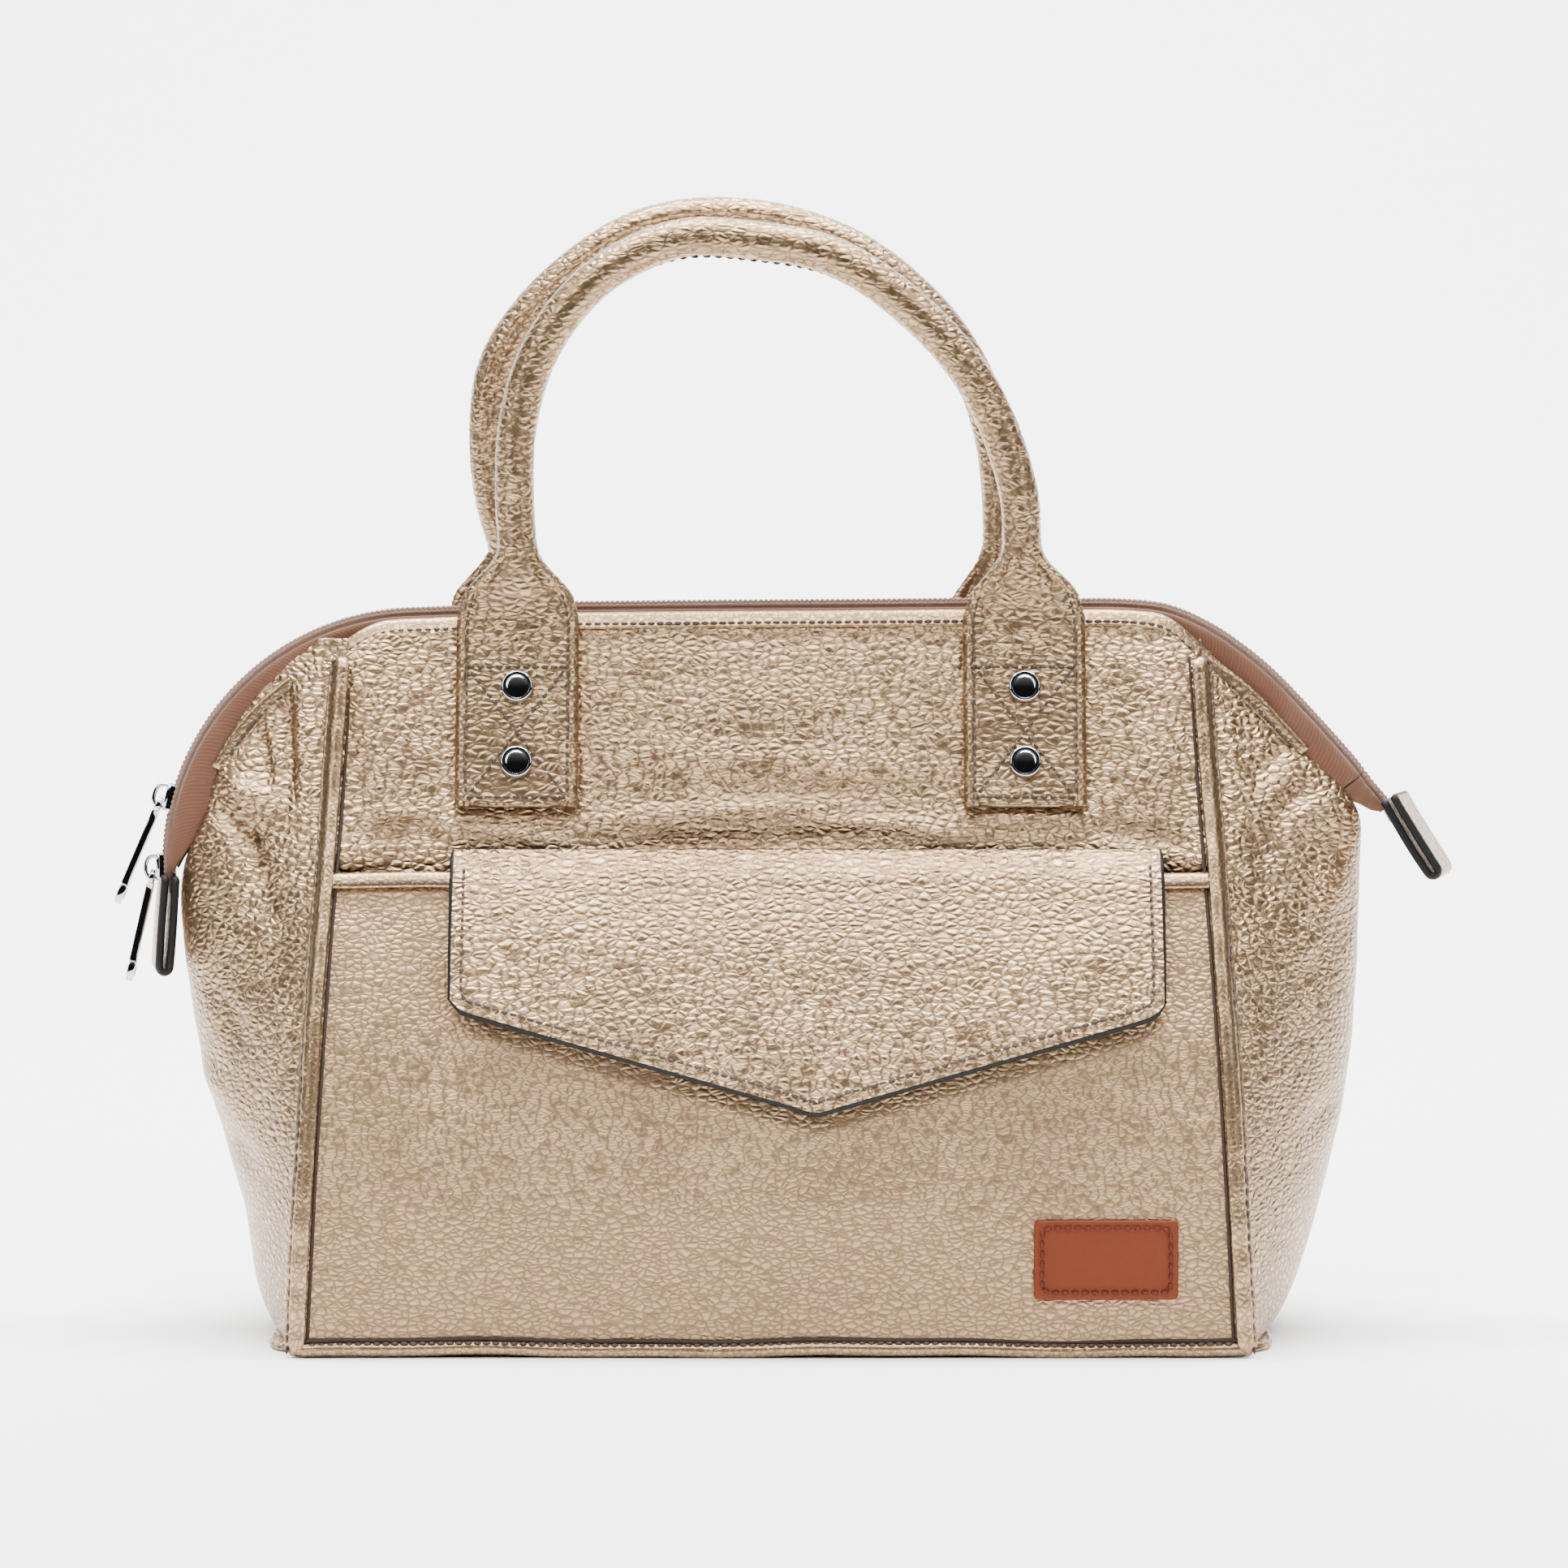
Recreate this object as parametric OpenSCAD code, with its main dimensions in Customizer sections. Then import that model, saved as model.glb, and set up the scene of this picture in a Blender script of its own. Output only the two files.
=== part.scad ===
// Small top handle bag with a framed zip mouth, a flap pocket and two rolled handles.
// Millimetres, +X to the right of the front, -Y out of the front, +Z up.
// The origin is the middle of the underside.

/* [Body] */
// Distance between the side pipings at the base
base_w = 270; // [200:5:340]
// Distance between the side pipings where they end under the trim
top_w = 249; // [180:5:320]
// Depth of the bag at its base
base_d = 128; // [100:2:170]
// Height where the lower shell ends and the two mouth halves start
split_z = 150; // [120:1:180]
// Height of the pins that the mouth frame turns on
hinge_z = 160; // [130:1:190]
// Height of the zip above the ground at the middle
mouth_z = 213; // [185:1:240]
// Bulge of each side gusset past the pipings, below the mouth
gusset_bulge = 43.7; // [30:0.1:50]
// Thickness of the leather panels
leather_t = 1.6; // [1:0.1:2.4]
// Thickness of the base board
board_t = 2.5; // [1.5:0.1:4]
// Thickness of the lining
lining_t = 0.8; // [0.5:0.1:1.2]
// Height of the lining's loose top edge
lining_top_z = 126; // [100:1:128]
// Radius of the pipings
piping_r = 2; // [1.2:0.1:2.6]

/* [Mouth] */
// Depth from the middle to the outer face of a mouth half, at the frame pins
mouth_half_d = 24; // [20:0.5:28]
// Depth from the middle to the outer face of a mouth half, at its top edge
mouth_top_d = 10.8; // [10.4:0.1:13]
// Distance from the zip line down to the top edge of the panel
panel_drop = 6; // [4:0.5:9]
// Width of the stitched trim beside the zip
trim_w = 5; // [3:0.5:7]
// Thickness of the trim
trim_t = 1.7; // [1:0.1:2.2]
// Width of the zip facing that shows at the middle of the mouth
facing_mid = 3; // [2:0.5:5]
// Width of the zip facing that shows on the slopes at the ends
facing_end = 8.5; // [6:0.5:10]
// Width of the steel frame strip
frame_w = 6; // [4:0.5:8]
// Thickness of the steel frame strip
frame_t = 1.5; // [1:0.1:1.7]
// Diameter of the frame pins
pin_d = 2.4; // [1.6:0.1:3]

/* [Zip] */
// Radius of the round left shoulder that the zip runs over
zip_r = 75.3; // [60:0.1:85]
// Width of one coil
coil_w = 1.8; // [1.2:0.1:2.2]
// Thickness of the coils
coil_t = 2; // [1.4:0.1:2.4]
// Thickness of the tapes
tape_t = 0.7; // [0.5:0.1:0.9]
// Gap between the two coils, where the slider's wedge runs
coil_gap = 1.6; // [1.4:0.1:2]
// Length of a slider
slider_l = 8.5; // [7:0.1:10]
// Width of a slider
slider_w = 9.2; // [8.4:0.1:9.8]
// Length of a pull
pull_l = 34; // [24:1:38]
// Width of a pull
pull_w = 6.5; // [5:0.1:9]
// Thickness of a pull
pull_t = 1.3; // [1:0.1:1.6]
// Length of the leather end tabs of the zip
end_tab_l = 27; // [20:1:32]
// Width of the leather end tabs of the zip
end_tab_w = 20; // [14:1:26]

/* [Handles] */
// Distance between the two ends of a handle
handle_span = 147; // [120:1:170]
// Height of the front handle's arch above its necks
handle_rise = 90.5; // [70:0.5:120]
// Height of the back handle's arch above its necks
back_handle_rise = 98; // [70:1:125]
// Shift of the back handle to the left
back_shift = 4; // [0:0.5:6]
// Diameter of the rolled handles
handle_d = 11.4; // [9:0.1:14]
// Thickness of the leather round the handle's core
handle_wall = 1.4; // [1:0.1:2]
// Width of the handle tabs
tab_w = 35.6; // [28:0.2:42]
// Thickness of the handle tabs
tab_t = 2.2; // [1.6:0.1:2.4]
// Height of the lower edge of the handle tabs
tab_bottom_z = 154.2; // [153:0.2:158]
// Diameter of the rivet caps
rivet_cap_d = 9.3; // [7:0.1:12]
// Diameter of the rivet posts
rivet_post_d = 3; // [2:0.1:4]
// Height of the lower rivets
rivet_low_z = 167.2; // [165:0.2:172]
// Distance between the two rivets of a tab
rivet_pitch = 21.6; // [16:0.2:24]

/* [Pocket] */
// Height of the pocket's bound top edge
pocket_top_z = 135.7; // [120:0.1:137]
// Width of the binding
binding_w = 4; // [3:0.5:6]
// Height of the flap's fold
flap_top_z = 142; // [139:0.5:145]
// Left edge of the flap, from the middle
flap_left = 91; // [80:1:105]
// Right edge of the flap, from the middle
flap_right = 111.9; // [95:0.1:118]
// Height where the straight sides of the flap end
flap_side_z = 103; // [95:1:110]
// Height of the flap's point
flap_tip_z = 69.8; // [60:0.2:80]
// Thickness of the flap, both layers
flap_t = 2.4; // [1.8:0.1:3]
// Diameter of the two magnets
magnet_d = 14; // [10:1:18]
// Width of the patch
patch_w = 39.4; // [30:0.2:50]
// Height of the patch
patch_h = 21.2; // [15:0.2:30]
// Thickness of the patch
patch_t = 1.2; // [0.8:0.1:2]

/* [Hidden] */

// Colours, as the photograph shows them
gold = "#C3B394";
gold_dark = "#A8987A";
tan = "#9E5B3C";
twill = "#A98467";
coil_brown = "#8F6E5A";
steel = "#B8BABD";
cloth = "#6B5A4B";
card = "#8C8478";

gap = 0.3;            // running clearance between two pieces
seat = 0.1;           // gap between two pieces that are sewn together
over = 1;             // overrun of cuts
round_fn = 48;
tube_fn = 10;
core_fn = 8;

// Outer depth of the shell, as shares of split_z and of half the base depth
body_shares = [[0, 0.985], [0.28, 0.975], [0.42, 0.935], [0.6, 0.84], [0.77, 0.7], [0.9, 0.565], [1, 0.46]];
// Depth of the front panel behind the pocket, with the same shares
front_shares = [[0, 0.93], [0.08, 0.86], [0.2, 0.8], [0.4, 0.73], [0.6, 0.62], [0.77, 0.525],
  [0.92, 0.472], [1, 0.46]];
// Bulge of the gusset, as shares of split_z and gusset_bulge
bulge_shares = [[0, 0.24], [0.055, 0.37], [0.13, 0.42], [0.27, 0.555], [0.4, 0.695], [0.53, 0.81],
  [0.67, 0.9], [0.8, 0.957], [1, 1]];

seam_x = piping_r + gap;                 // from a piping's centre line to the next panel
floor_z = leather_t + gap;               // the walls stand on the base panel
panel_top_z = mouth_z - panel_drop;
foot_z = 2 * piping_r + 2 * gap;         // lower edge of what stands above the base piping

function body_y(z) = base_d / 2 * lookup(z / split_z, body_shares);
function front_y(z) = base_d / 2 * lookup(z / split_z, front_shares);
function side_x(z) = lookup(z, [[0, base_w / 2], [panel_top_z, top_w / 2]]);
function bulge(z) = gusset_bulge * lookup(z / split_z, bulge_shares);
function mouth_y(z) = mouth_half_d - (z - hinge_z) * (mouth_half_d - mouth_top_d) / (panel_top_z - hinge_z);
lean = atan((mouth_half_d - mouth_top_d) / (panel_top_z - hinge_z));

// Closed outline of a wall from its outer line [y, z] and its thickness toward +Y
function wall(line, t) = concat(line, [for (i = [len(line) - 1:-1:0]) line[i] + [t, 0]]);
// Heights where the shell bends, between two heights
function bends(table, z0, z1) = concat([z0],
  [for (s = table) if (s[0] * split_z > z0 + over && s[0] * split_z < z1 - over) s[0] * split_z], [z1]);
function body_line(z0, z1, out) = [for (z = bends(body_shares, z0, z1)) [-body_y(z) - out, z]];
function front_line(z0, z1, out) = [for (z = bends(front_shares, z0, z1)) [-front_y(z) - out, z]];

// A flat outline [x, z] drawn out along Y from y0 to y1
module plate_y(y0, y1) translate([0, y1, 0]) rotate([90, 0, 0]) linear_extrude(y1 - y0) children();
// A flat outline [y, z] drawn out along X, centred
module along_x(w) rotate([90, 0, 90]) linear_extrude(w, center = true) children();
// The space between the two side pipings
module between_pipings(z0, z1, in) plate_y(-base_d, base_d)
  polygon([[-side_x(z0) + seam_x + in, z0], [side_x(z0) - seam_x - in, z0],
    [side_x(z1) - seam_x - in, z1], [-side_x(z1) + seam_x + in, z1]]);
// A mouth half is the front one, and the back one is its mirror image
module half(front) if (front) children(); else mirror([0, 1, 0]) children();
module right_half(right) if (right) children(); else mirror([1, 0, 0]) children();

// Rings of equal point count, joined into one closed solid
function grid_faces(rings, n) = concat(
  [for (i = [0:rings - 2], j = [0:n - 1]) [i * n + j, (i + 1) * n + j, i * n + (j + 1) % n]],
  [for (i = [0:rings - 2], j = [0:n - 1])
    [(i + 1) * n + j, (i + 1) * n + (j + 1) % n, i * n + (j + 1) % n]],
  [[for (j = [0:n - 1]) j]],
  [[for (j = [n - 1:-1:0]) (rings - 1) * n + j]]);
module skin(rings) polyhedron([for (r = rings, p = r) p], grid_faces(len(rings), len(rings[0])));

// Two quads of triangles between four corners of a grid
function quad(a, b, c, d) = [[a, b, c], [a, c, d]];
function flat(lists) = [for (l = lists, q = l) q];
// A curved sheet between two like grids of points, the first one outside
module sheet(outer, inner) {
  m = len(outer);
  n = len(outer[0]);
  o = m * n;
  polyhedron(concat(flat(outer), flat(inner)), flat(concat(
    [for (i = [0:m - 2], j = [0:n - 2]) quad(i * n + j, (i + 1) * n + j, (i + 1) * n + j + 1, i * n + j + 1)],
    [for (i = [0:m - 2], j = [0:n - 2])
      quad(o + i * n + j, o + i * n + j + 1, o + (i + 1) * n + j + 1, o + (i + 1) * n + j)],
    [for (j = [0:n - 2]) quad(j, j + 1, o + j + 1, o + j)],
    [for (j = [0:n - 2]) quad(m * n - n + j, o + m * n - n + j, o + m * n - n + j + 1, m * n - n + j + 1)],
    [for (i = [0:m - 2]) quad(i * n, o + i * n, o + (i + 1) * n, (i + 1) * n)],
    [for (i = [0:m - 2]) quad(i * n + n - 1, (i + 1) * n + n - 1, o + (i + 1) * n + n - 1, o + i * n + n - 1)])));
}

function unit(v) = v / norm(v);
// Points of a smooth line through the given points
function curve(p, i, u) = let (a = p[max(i - 1, 0)], b = p[i], c = p[i + 1], d = p[min(i + 2, len(p) - 1)])
  0.5 * (2 * b + (c - a) * u + (2 * a - 5 * b + 4 * c - d) * u * u + (3 * b - 3 * c + d - a) * u * u * u);
function smooth(p, n) = concat(
  [for (i = [0:len(p) - 2], k = [0:n - 1]) curve(p, i, k / n)], [p[len(p) - 1]]);
// Rings of a tube round a line that lies in a plane square to the vector side
function tube_rings(p, r, side, n) = [for (i = [0:len(p) - 1])
  let (t = unit(p[min(i + 1, len(p) - 1)] - p[max(i - 1, 0)]), b = unit(cross(t, side)), s = cross(b, t))
  [for (k = [0:n - 1]) p[i] + r * (cos(360 * k / n) * s + sin(360 * k / n) * b)]];
module tube(p, r, side, n) skin(tube_rings(p, r, side, n));
// A hollow tube, open at both ends
module pipe(p, r, wall_t, side, n) {
  rings = [for (q = tube_rings(p, r, side, n)) q];
  bores = tube_rings(p, r - wall_t, side, n);
  m = len(p);
  o = m * n;
  polyhedron(concat(flat(rings), flat(bores)), flat([for (j = [0:n - 1]) let (k = (j + 1) % n) concat(
    flat([for (i = [0:m - 2]) concat(quad(i * n + j, (i + 1) * n + j, (i + 1) * n + k, i * n + k),
      quad(o + i * n + j, o + i * n + k, o + (i + 1) * n + k, o + (i + 1) * n + j))]),
    quad(j, k, o + k, o + j), quad(o - n + j, 2 * o - n + j, 2 * o - n + k, o - n + k))]));
}

// The zip line, seen from the front: a round left shoulder, a long top and a straight right slope
reach = side_x(hinge_z) + gusset_bulge;  // half the width of the bag at the ends of its mouth
shoulder_out = 0.105 * zip_r;            // the zip's shoulder stands this far past the gusset
arc_x = -(reach + shoulder_out - zip_r);
arc_z = mouth_z - zip_r - 0.0226 * zip_r;
tail_a = 182;                            // end of the coil on the left
pin_low_a = 163;                         // top of the fixed part of the left zip
pin_high_a = 158.5;                      // lower end of the part that opens
top_a = 92;
tape_end_a = 187;                         // end of the left tape, inside its leather tab
right_shares = [[0, 0], [0.36, 0.005], [0.62, 0.006], [0.76, -0.006], [0.86, -0.09], [0.93, -0.19],
  [1, -0.31]];
right_run = reach + 1.4;                 // reach of the zip's opening part to the right
right_fall = 0.704 * mouth_z;
top_start = 0.59 * zip_r;                // from the middle of the arc to the start of the top
function arc_pt(a, r) = [arc_x + r * cos(a), arc_z + r * sin(a)];
function arc_line(a0, a1) = let (n = max(2, ceil(abs(a1 - a0) / 6)))
  [for (i = [0:n]) arc_pt(a0 + (a1 - a0) * i / n, zip_r)];
top_line = [for (s = right_shares)
  [arc_x + top_start + s[0] * (right_run - arc_x - top_start), mouth_z + s[1] * right_fall]];
mouth_line = concat(arc_line(pin_high_a, top_a), smooth(top_line, 2));
tail_line = arc_line(tail_a, pin_low_a);
// The right end of the zip, from the last point of the mouth line down to the tab
right_end = mouth_line[len(mouth_line) - 1];

// Inward normal of the line at point i
function normal(p, i) = let (t = unit(p[min(i + 1, len(p) - 1)] - p[max(i - 1, 0)])) [t[1], -t[0]];
// Band beside a line, between two lists of inward offsets
function band(p, o0, o1) = concat(
  [for (i = [0:len(p) - 1]) p[i] + o0[i] * normal(p, i)],
  [for (i = [len(p) - 1:-1:0]) p[i] + o1[i] * normal(p, i)]);
function same(p, v) = [for (q = p) v];
// Width of the facing that shows: wide on the slopes, narrow in the middle
function facing_h(p) = [for (q = p) facing_mid + (facing_end - facing_mid)
  * min(1, max(0, (abs(q[0]) - side_x(panel_top_z) + 2 * trim_w) / (4 * trim_w)))];

coil_y = coil_gap / 2;
tape_margin = 2.5;                       // width of a tape outside its coil
tape_y = coil_y + coil_w + tape_margin;
facing_y = tape_y + gap;                 // inner face of the facing
facing_t = 1.2;
facing_low = 0.9;                        // the facings start this far below the zip line
trim_y = facing_y + facing_t + gap;
frame_y = facing_y - gap;
frame_in = facing_end + 2 * gap;         // frame strip, inward from the zip line
module strip_band(p, o0, o1, y0, y1) plate_y(-y1, -y0) polygon(band(p, o0, o1));

module coil(p) strip_band(p, same(p, 0), same(p, coil_t), coil_y, coil_y + coil_w);
module tape(p) strip_band(p, same(p, coil_t), same(p, coil_t + tape_t), coil_y, tape_y);

// Front and back of the lower shell
module front_panel() color(gold) intersection() {
  between_pipings(0, split_z, 0);
  along_x(2 * base_w) polygon(wall(front_line(floor_z, split_z, 0), leather_t));
}
module back_panel() color(gold) mirror([0, 1, 0]) intersection() {
  between_pipings(0, split_z, 0);
  along_x(2 * base_w) polygon(wall(body_line(foot_z, split_z, 0), leather_t));
}

// Side gussets: bulged sheets with a notch for the zip's end
notch_share = 0.28;
notch_top_share = 0.34;
notch_z = 128;
gusset_rows = 9;
gusset_cols = [-1, -0.85, -0.7, -0.55, -0.43, -notch_top_share, -notch_share, 0, notch_share,
  notch_top_share, 0.43, 0.55, 0.7, 0.85, 1];
corner_in = piping_r;                    // the gusset starts this far inside the shell's outer depth
function gusset_top(t, low) = lookup(abs(t), [[0, low], [notch_share, low], [notch_top_share, split_z],
  [1, split_z]]);
function gusset_pt(z, t, in) = let (yc = body_y(z) - corner_in, b = bulge(z), a = 90 * t,
    n = abs(t) == 1 ? [0, t] : unit([1, b * sin(a) * PI / 2 / yc]))
  [side_x(z) + seam_x + b * cos(a) - in * n[0], t * yc - in * n[1], z];
function gusset_z(i, t, low) = floor_z + (gusset_top(t, low) - floor_z) * i / (gusset_rows - 1);
module gusset(low) sheet(
  [for (i = [0:gusset_rows - 1]) [for (t = gusset_cols) gusset_pt(gusset_z(i, t, low), t, 0)]],
  [for (i = [0:gusset_rows - 1]) [for (t = gusset_cols) gusset_pt(gusset_z(i, t, low), t, leather_t)]]);
right_notch_z = 139;
module gusset_left() color(gold) right_half(false) gusset(notch_z);
module gusset_right() color(gold) gusset(right_notch_z);

// Base panel, board and pipings
function floor_outline() = concat(
  [for (t = [-1:0.2:1]) let (p = gusset_pt(0, t, 0)) [p[0], p[1]]],
  [for (t = [1:-0.2:-1]) let (p = gusset_pt(0, t, 0)) [-p[0], p[1]]]);
module base_panel() color(gold_dark) linear_extrude(leather_t) polygon(floor_outline());
board_in = 5;
board_z = leather_t + seat;
board_y = front_y(board_z + board_t) - leather_t - 3 * gap;
function board_pt(p) = [p[0] - sign(p[0]) * board_in, max(-board_y, min(board_y, p[1]))];
module base_board() color(card) translate([0, 0, board_z]) linear_extrude(board_t)
  polygon([for (p = floor_outline()) board_pt(p)]);
module piping_base() color(gold) for (s = [-1, 1])
  translate([0, s * (body_y(0) - corner_in + piping_r + gap), piping_r + gap]) rotate([0, 90, 0])
    cylinder(h = 2 * (side_x(0) - seam_x), r = piping_r, center = true, $fn = round_fn);
module side_pipings(sy) color(gold) for (sx = [-1, 1])
  tube([for (z = concat([piping_r + gap], bends(body_shares, split_z / 9, split_z - 2)))
    [sx * side_x(z), sy * (body_y(z) - 0.75 * piping_r), z]], piping_r, [1, 0, 0], tube_fn);
module piping_front() side_pipings(-1);
module piping_back() side_pipings(1);

// Pocket: a panel on the front with closed sides and bottom, and a bound top edge
pocket_seam = 3;
pocket_floor_z = foot_z + 6;
bind_z = pocket_top_z - binding_w;
module pocket_panel() color(gold) intersection() {
  between_pipings(0, split_z, 0);
  along_x(2 * base_w) polygon(wall(body_line(foot_z, bind_z, 0), leather_t));
}
// The seam that closes the pocket at its sides and bottom
module pocket_seams() color(gold_dark) intersection() {
  between_pipings(0, split_z, 0);
  difference() {
    along_x(2 * base_w) polygon(concat(body_line(foot_z, bind_z, -leather_t - seat),
      [for (l = [front_line(foot_z, bind_z, seat)], i = [len(l) - 1:-1:0]) l[i]]));
    intersection() {
      between_pipings(0, split_z, pocket_seam);
      plate_y(-base_d, 0) translate([-base_w, pocket_floor_z]) square([2 * base_w, split_z]);
    }
  }
}
module pocket_binding() color(gold_dark) intersection() {
  between_pipings(0, split_z, 0);
  along_x(2 * base_w) polygon(wall(body_line(bind_z + seat, pocket_top_z, 0), leather_t));
}

// What is fixed square to the front of the pocket, where it leans by an angle
function slope_at(z) = atan((body_y(z - 3) - body_y(z + 3)) / 6);
module on_front(x, z, out) translate([x, -body_y(z) - out, z]) rotate([90 - slope_at(z), 0, 0]) children();
magnet_x = (flap_right - flap_left) / 2;
magnet_z = flap_tip_z + 12.5;
magnet_t = 1.5;
module pocket_magnet() color(steel) on_front(magnet_x, magnet_z, -leather_t / cos(slope_at(magnet_z)) - seat)
  translate([0, 0, -magnet_t]) cylinder(h = magnet_t, d = magnet_d, $fn = round_fn);
patch_x = 95;
patch_z = 28;
patch_turn = 0.7;
module patch() color(tan) on_front(patch_x, patch_z, gap / 3) rotate([0, 0, patch_turn])
  translate([-patch_w / 2, -patch_h / 2, 0]) cube([patch_w, patch_h, patch_t]);

// Flap: it is sewn to the front panel, rolls over the pocket's edge and hangs down
strip_t = 1.2;
strip_h = 14;
flap_r = flap_t / 2;
flap_hinge_z = flap_top_z - flap_r;
flap_hinge_y = -(front_y(flap_hinge_z) + strip_t + 2 * gap + flap_r);
flap_out = 0.5;
flap_lining_short = 0.7;                 // the lining ends below the flap's bend by this
flap_lining_t = 0.4 * flap_t;
module flap_strip() color(gold_dark) intersection() {
  plate_y(-base_d, 0) translate([-flap_left, flap_hinge_z + over - strip_h])
    square([flap_left + flap_right, strip_h]);
  along_x(2 * base_w) polygon(wall(front_line(flap_hinge_z - 20, split_z, gap / 3 + strip_t), strip_t));
}
side_cut = 6;
module flap_outline() polygon([[-flap_left, flap_top_z], [-flap_left, flap_side_z],
  [-flap_left + 0.8 * side_cut, flap_side_z - side_cut], [magnet_x + 0.3 * side_cut, flap_tip_z],
  [flap_right - 0.5 * side_cut, flap_side_z - 1.2 * side_cut], [flap_right, flap_side_z],
  [flap_right, flap_top_z]]);
// Section of the flap between two depths of its thickness, from its inner face
fold_y = -(body_y(flap_top_z - flap_t) + flap_out);
module flap_section(a, b) {
  polygon(wall(body_line(flap_tip_z - over, flap_top_z - flap_t - 0.6, flap_out + b), b - a));
  translate([fold_y - b, flap_top_z - flap_t - 0.7]) square([b - a, 0.8 + a]);
  translate([fold_y - b, flap_top_z - flap_t + a]) square([flap_hinge_y - fold_y + b, b - a]);
}
module flap_outer() color(gold) intersection() {
  plate_y(-base_d, 0) flap_outline();
  along_x(2 * base_w) union() {
    flap_section(flap_lining_t, flap_t);
    translate([flap_hinge_y, flap_hinge_z]) circle(r = flap_r, $fn = round_fn);
  }
}
module flap_lining() color(gold_dark) difference() {
  intersection() {
    plate_y(-base_d, 0) flap_outline();
    along_x(2 * base_w) polygon(wall(
      body_line(flap_tip_z - over, flap_top_z - flap_t - flap_lining_short, flap_out + flap_lining_t - seat / 2),
      flap_lining_t - seat / 2));
  }
  on_front(magnet_x, magnet_z, 0) translate([0, 0, -over])
    cylinder(h = 2 * over + flap_t, d = magnet_d + 2 * gap, $fn = round_fn);
}
module flap_magnet() color(steel) on_front(magnet_x, magnet_z, flap_out / cos(slope_at(magnet_z)))
  cylinder(h = 0.7 * flap_lining_t, d = magnet_d, $fn = round_fn);

// Lining: a loose tub inside the shell
lining_gap = 0.8;
lining_floor_z = board_z + board_t + seat;
lining_cols = [-1, -0.75, -0.5, -0.25, 0, 0.25, 0.5, 0.75, 1];
function lining_ring(z, in) = let (f = front_y(z) - leather_t - lining_gap - in,
    b = body_y(z) - leather_t - lining_gap - in,
    side = [for (t = lining_cols) gusset_pt(z, t, leather_t + 4 * lining_gap + in)])
  concat([for (p = side) [p[0] - (abs(p[1]) / f > 0.8 ? seam_x : 0), max(p[1], -f), z]],
    [for (i = [len(side) - 1:-1:0]) let (p = side[i]) [-p[0] + (abs(p[1]) / f > 0.8 ? seam_x : 0), max(p[1], -f), z]]);
lining_heights = bends(front_shares, lining_floor_z, lining_top_z);
module lining() color(cloth) difference() {
  skin([for (z = lining_heights) lining_ring(z, 0)]);
  skin([for (z = concat([lining_floor_z + lining_t], [for (i = [1:len(lining_heights) - 1]) lining_heights[i]],
    [lining_top_z + over])) lining_ring(z, lining_t)]);
}

// Stays and pins that the mouth frame turns on, at both ends of the mouth
stay_x = reach - 3;
stay_t = 1.5;
lug_t = 1.5;
lug_r = 2.8;
stay_low_z = hinge_z - 10;
stay_high_z = hinge_z + lug_r;
front_lug_x = stay_x - 3 * lug_t;
back_lug_x = front_lug_x - lug_t - gap;
pin_end_x = back_lug_x - lug_t;
module frame_stays() color(cloth) for (s = [false, true]) right_half(s) difference() {
  translate([stay_x, -tape_y, stay_low_z]) cube([stay_t, 2 * tape_y, stay_high_z - stay_low_z]);
  translate([stay_x - over, 0, hinge_z]) rotate([0, 90, 0])
    cylinder(h = stay_t + 2 * over, d = pin_d, $fn = round_fn);
}
module frame_pins() color(steel) for (s = [false, true]) right_half(s)
  translate([pin_end_x, 0, hinge_z]) rotate([0, 90, 0])
    cylinder(h = stay_x + stay_t - pin_end_x, d = pin_d, $fn = round_fn);

// Fixed ends of the zip
tail_depth = 10;
tail_facing_t = 1.9;
module both_sides() for (s = [false, true]) half(s) children();
module tail_facing_left() color(twill) both_sides()
  strip_band(tail_line, same(tail_line, facing_low), same(tail_line, tail_depth),
    facing_y, facing_y + tail_facing_t);
tail_tape_line = concat([arc_pt(tape_end_a, zip_r), arc_pt((tape_end_a + tail_a) / 2, zip_r)], tail_line);
module tail_tape_left() color(twill) both_sides() tape(tail_tape_line);
module tail_coil_left() color(coil_brown) both_sides() coil(tail_line);
right_facing_in = 1.5;                   // from the stay inward, outward, and down to its point
right_facing_out = 8;
right_facing_point = 11;
module tail_facing_right() color(twill) both_sides() plate_y(-facing_y - tail_facing_t, -facing_y)
  polygon([[stay_x - right_facing_in, stay_low_z - over],
    [stay_x + right_facing_out - right_facing_in, stay_low_z - right_facing_point],
    [stay_x + right_facing_out, stay_low_z], [stay_x + right_facing_out, hinge_z - 3 * over],
    [stay_x - right_facing_in, hinge_z - 3 * over]]);
// Folded leather tab: two layers, closed at the fold, with its length along -Z
tab_layer = 1.5;
tab_core = coil_t + 0.2;
tab_fold_t = 2 * tab_layer + tab_core;
module end_tab() difference() {
  union() {
    translate([-tab_fold_t / 2, -end_tab_w / 2, -end_tab_l + tab_fold_t / 2])
      cube([tab_fold_t, end_tab_w, end_tab_l - tab_fold_t / 2]);
    translate([0, end_tab_w / 2, -end_tab_l + tab_fold_t / 2]) rotate([90, 0, 0])
      cylinder(h = end_tab_w, d = tab_fold_t, $fn = round_fn);
  }
  translate([-tab_core / 2, -end_tab_w / 2 - over, -end_tab_l + tab_fold_t])
    cube([tab_core, end_tab_w + 2 * over, end_tab_l]);
}
left_tab_a = tail_a + 4;                 // the tab hangs below this angle of the zip
left_tab_drop = 6.2;
left_tab_top = [arc_x - (zip_r - coil_t - tape_t / 2) * cos(left_tab_a - 180), arc_z - left_tab_drop];
left_tab_lean = 2;
module tail_tab_left() color(gold) translate([left_tab_top[0], 0, left_tab_top[1]])
  rotate([0, left_tab_lean, 0]) end_tab();
tail_lean = -38.6;
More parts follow.
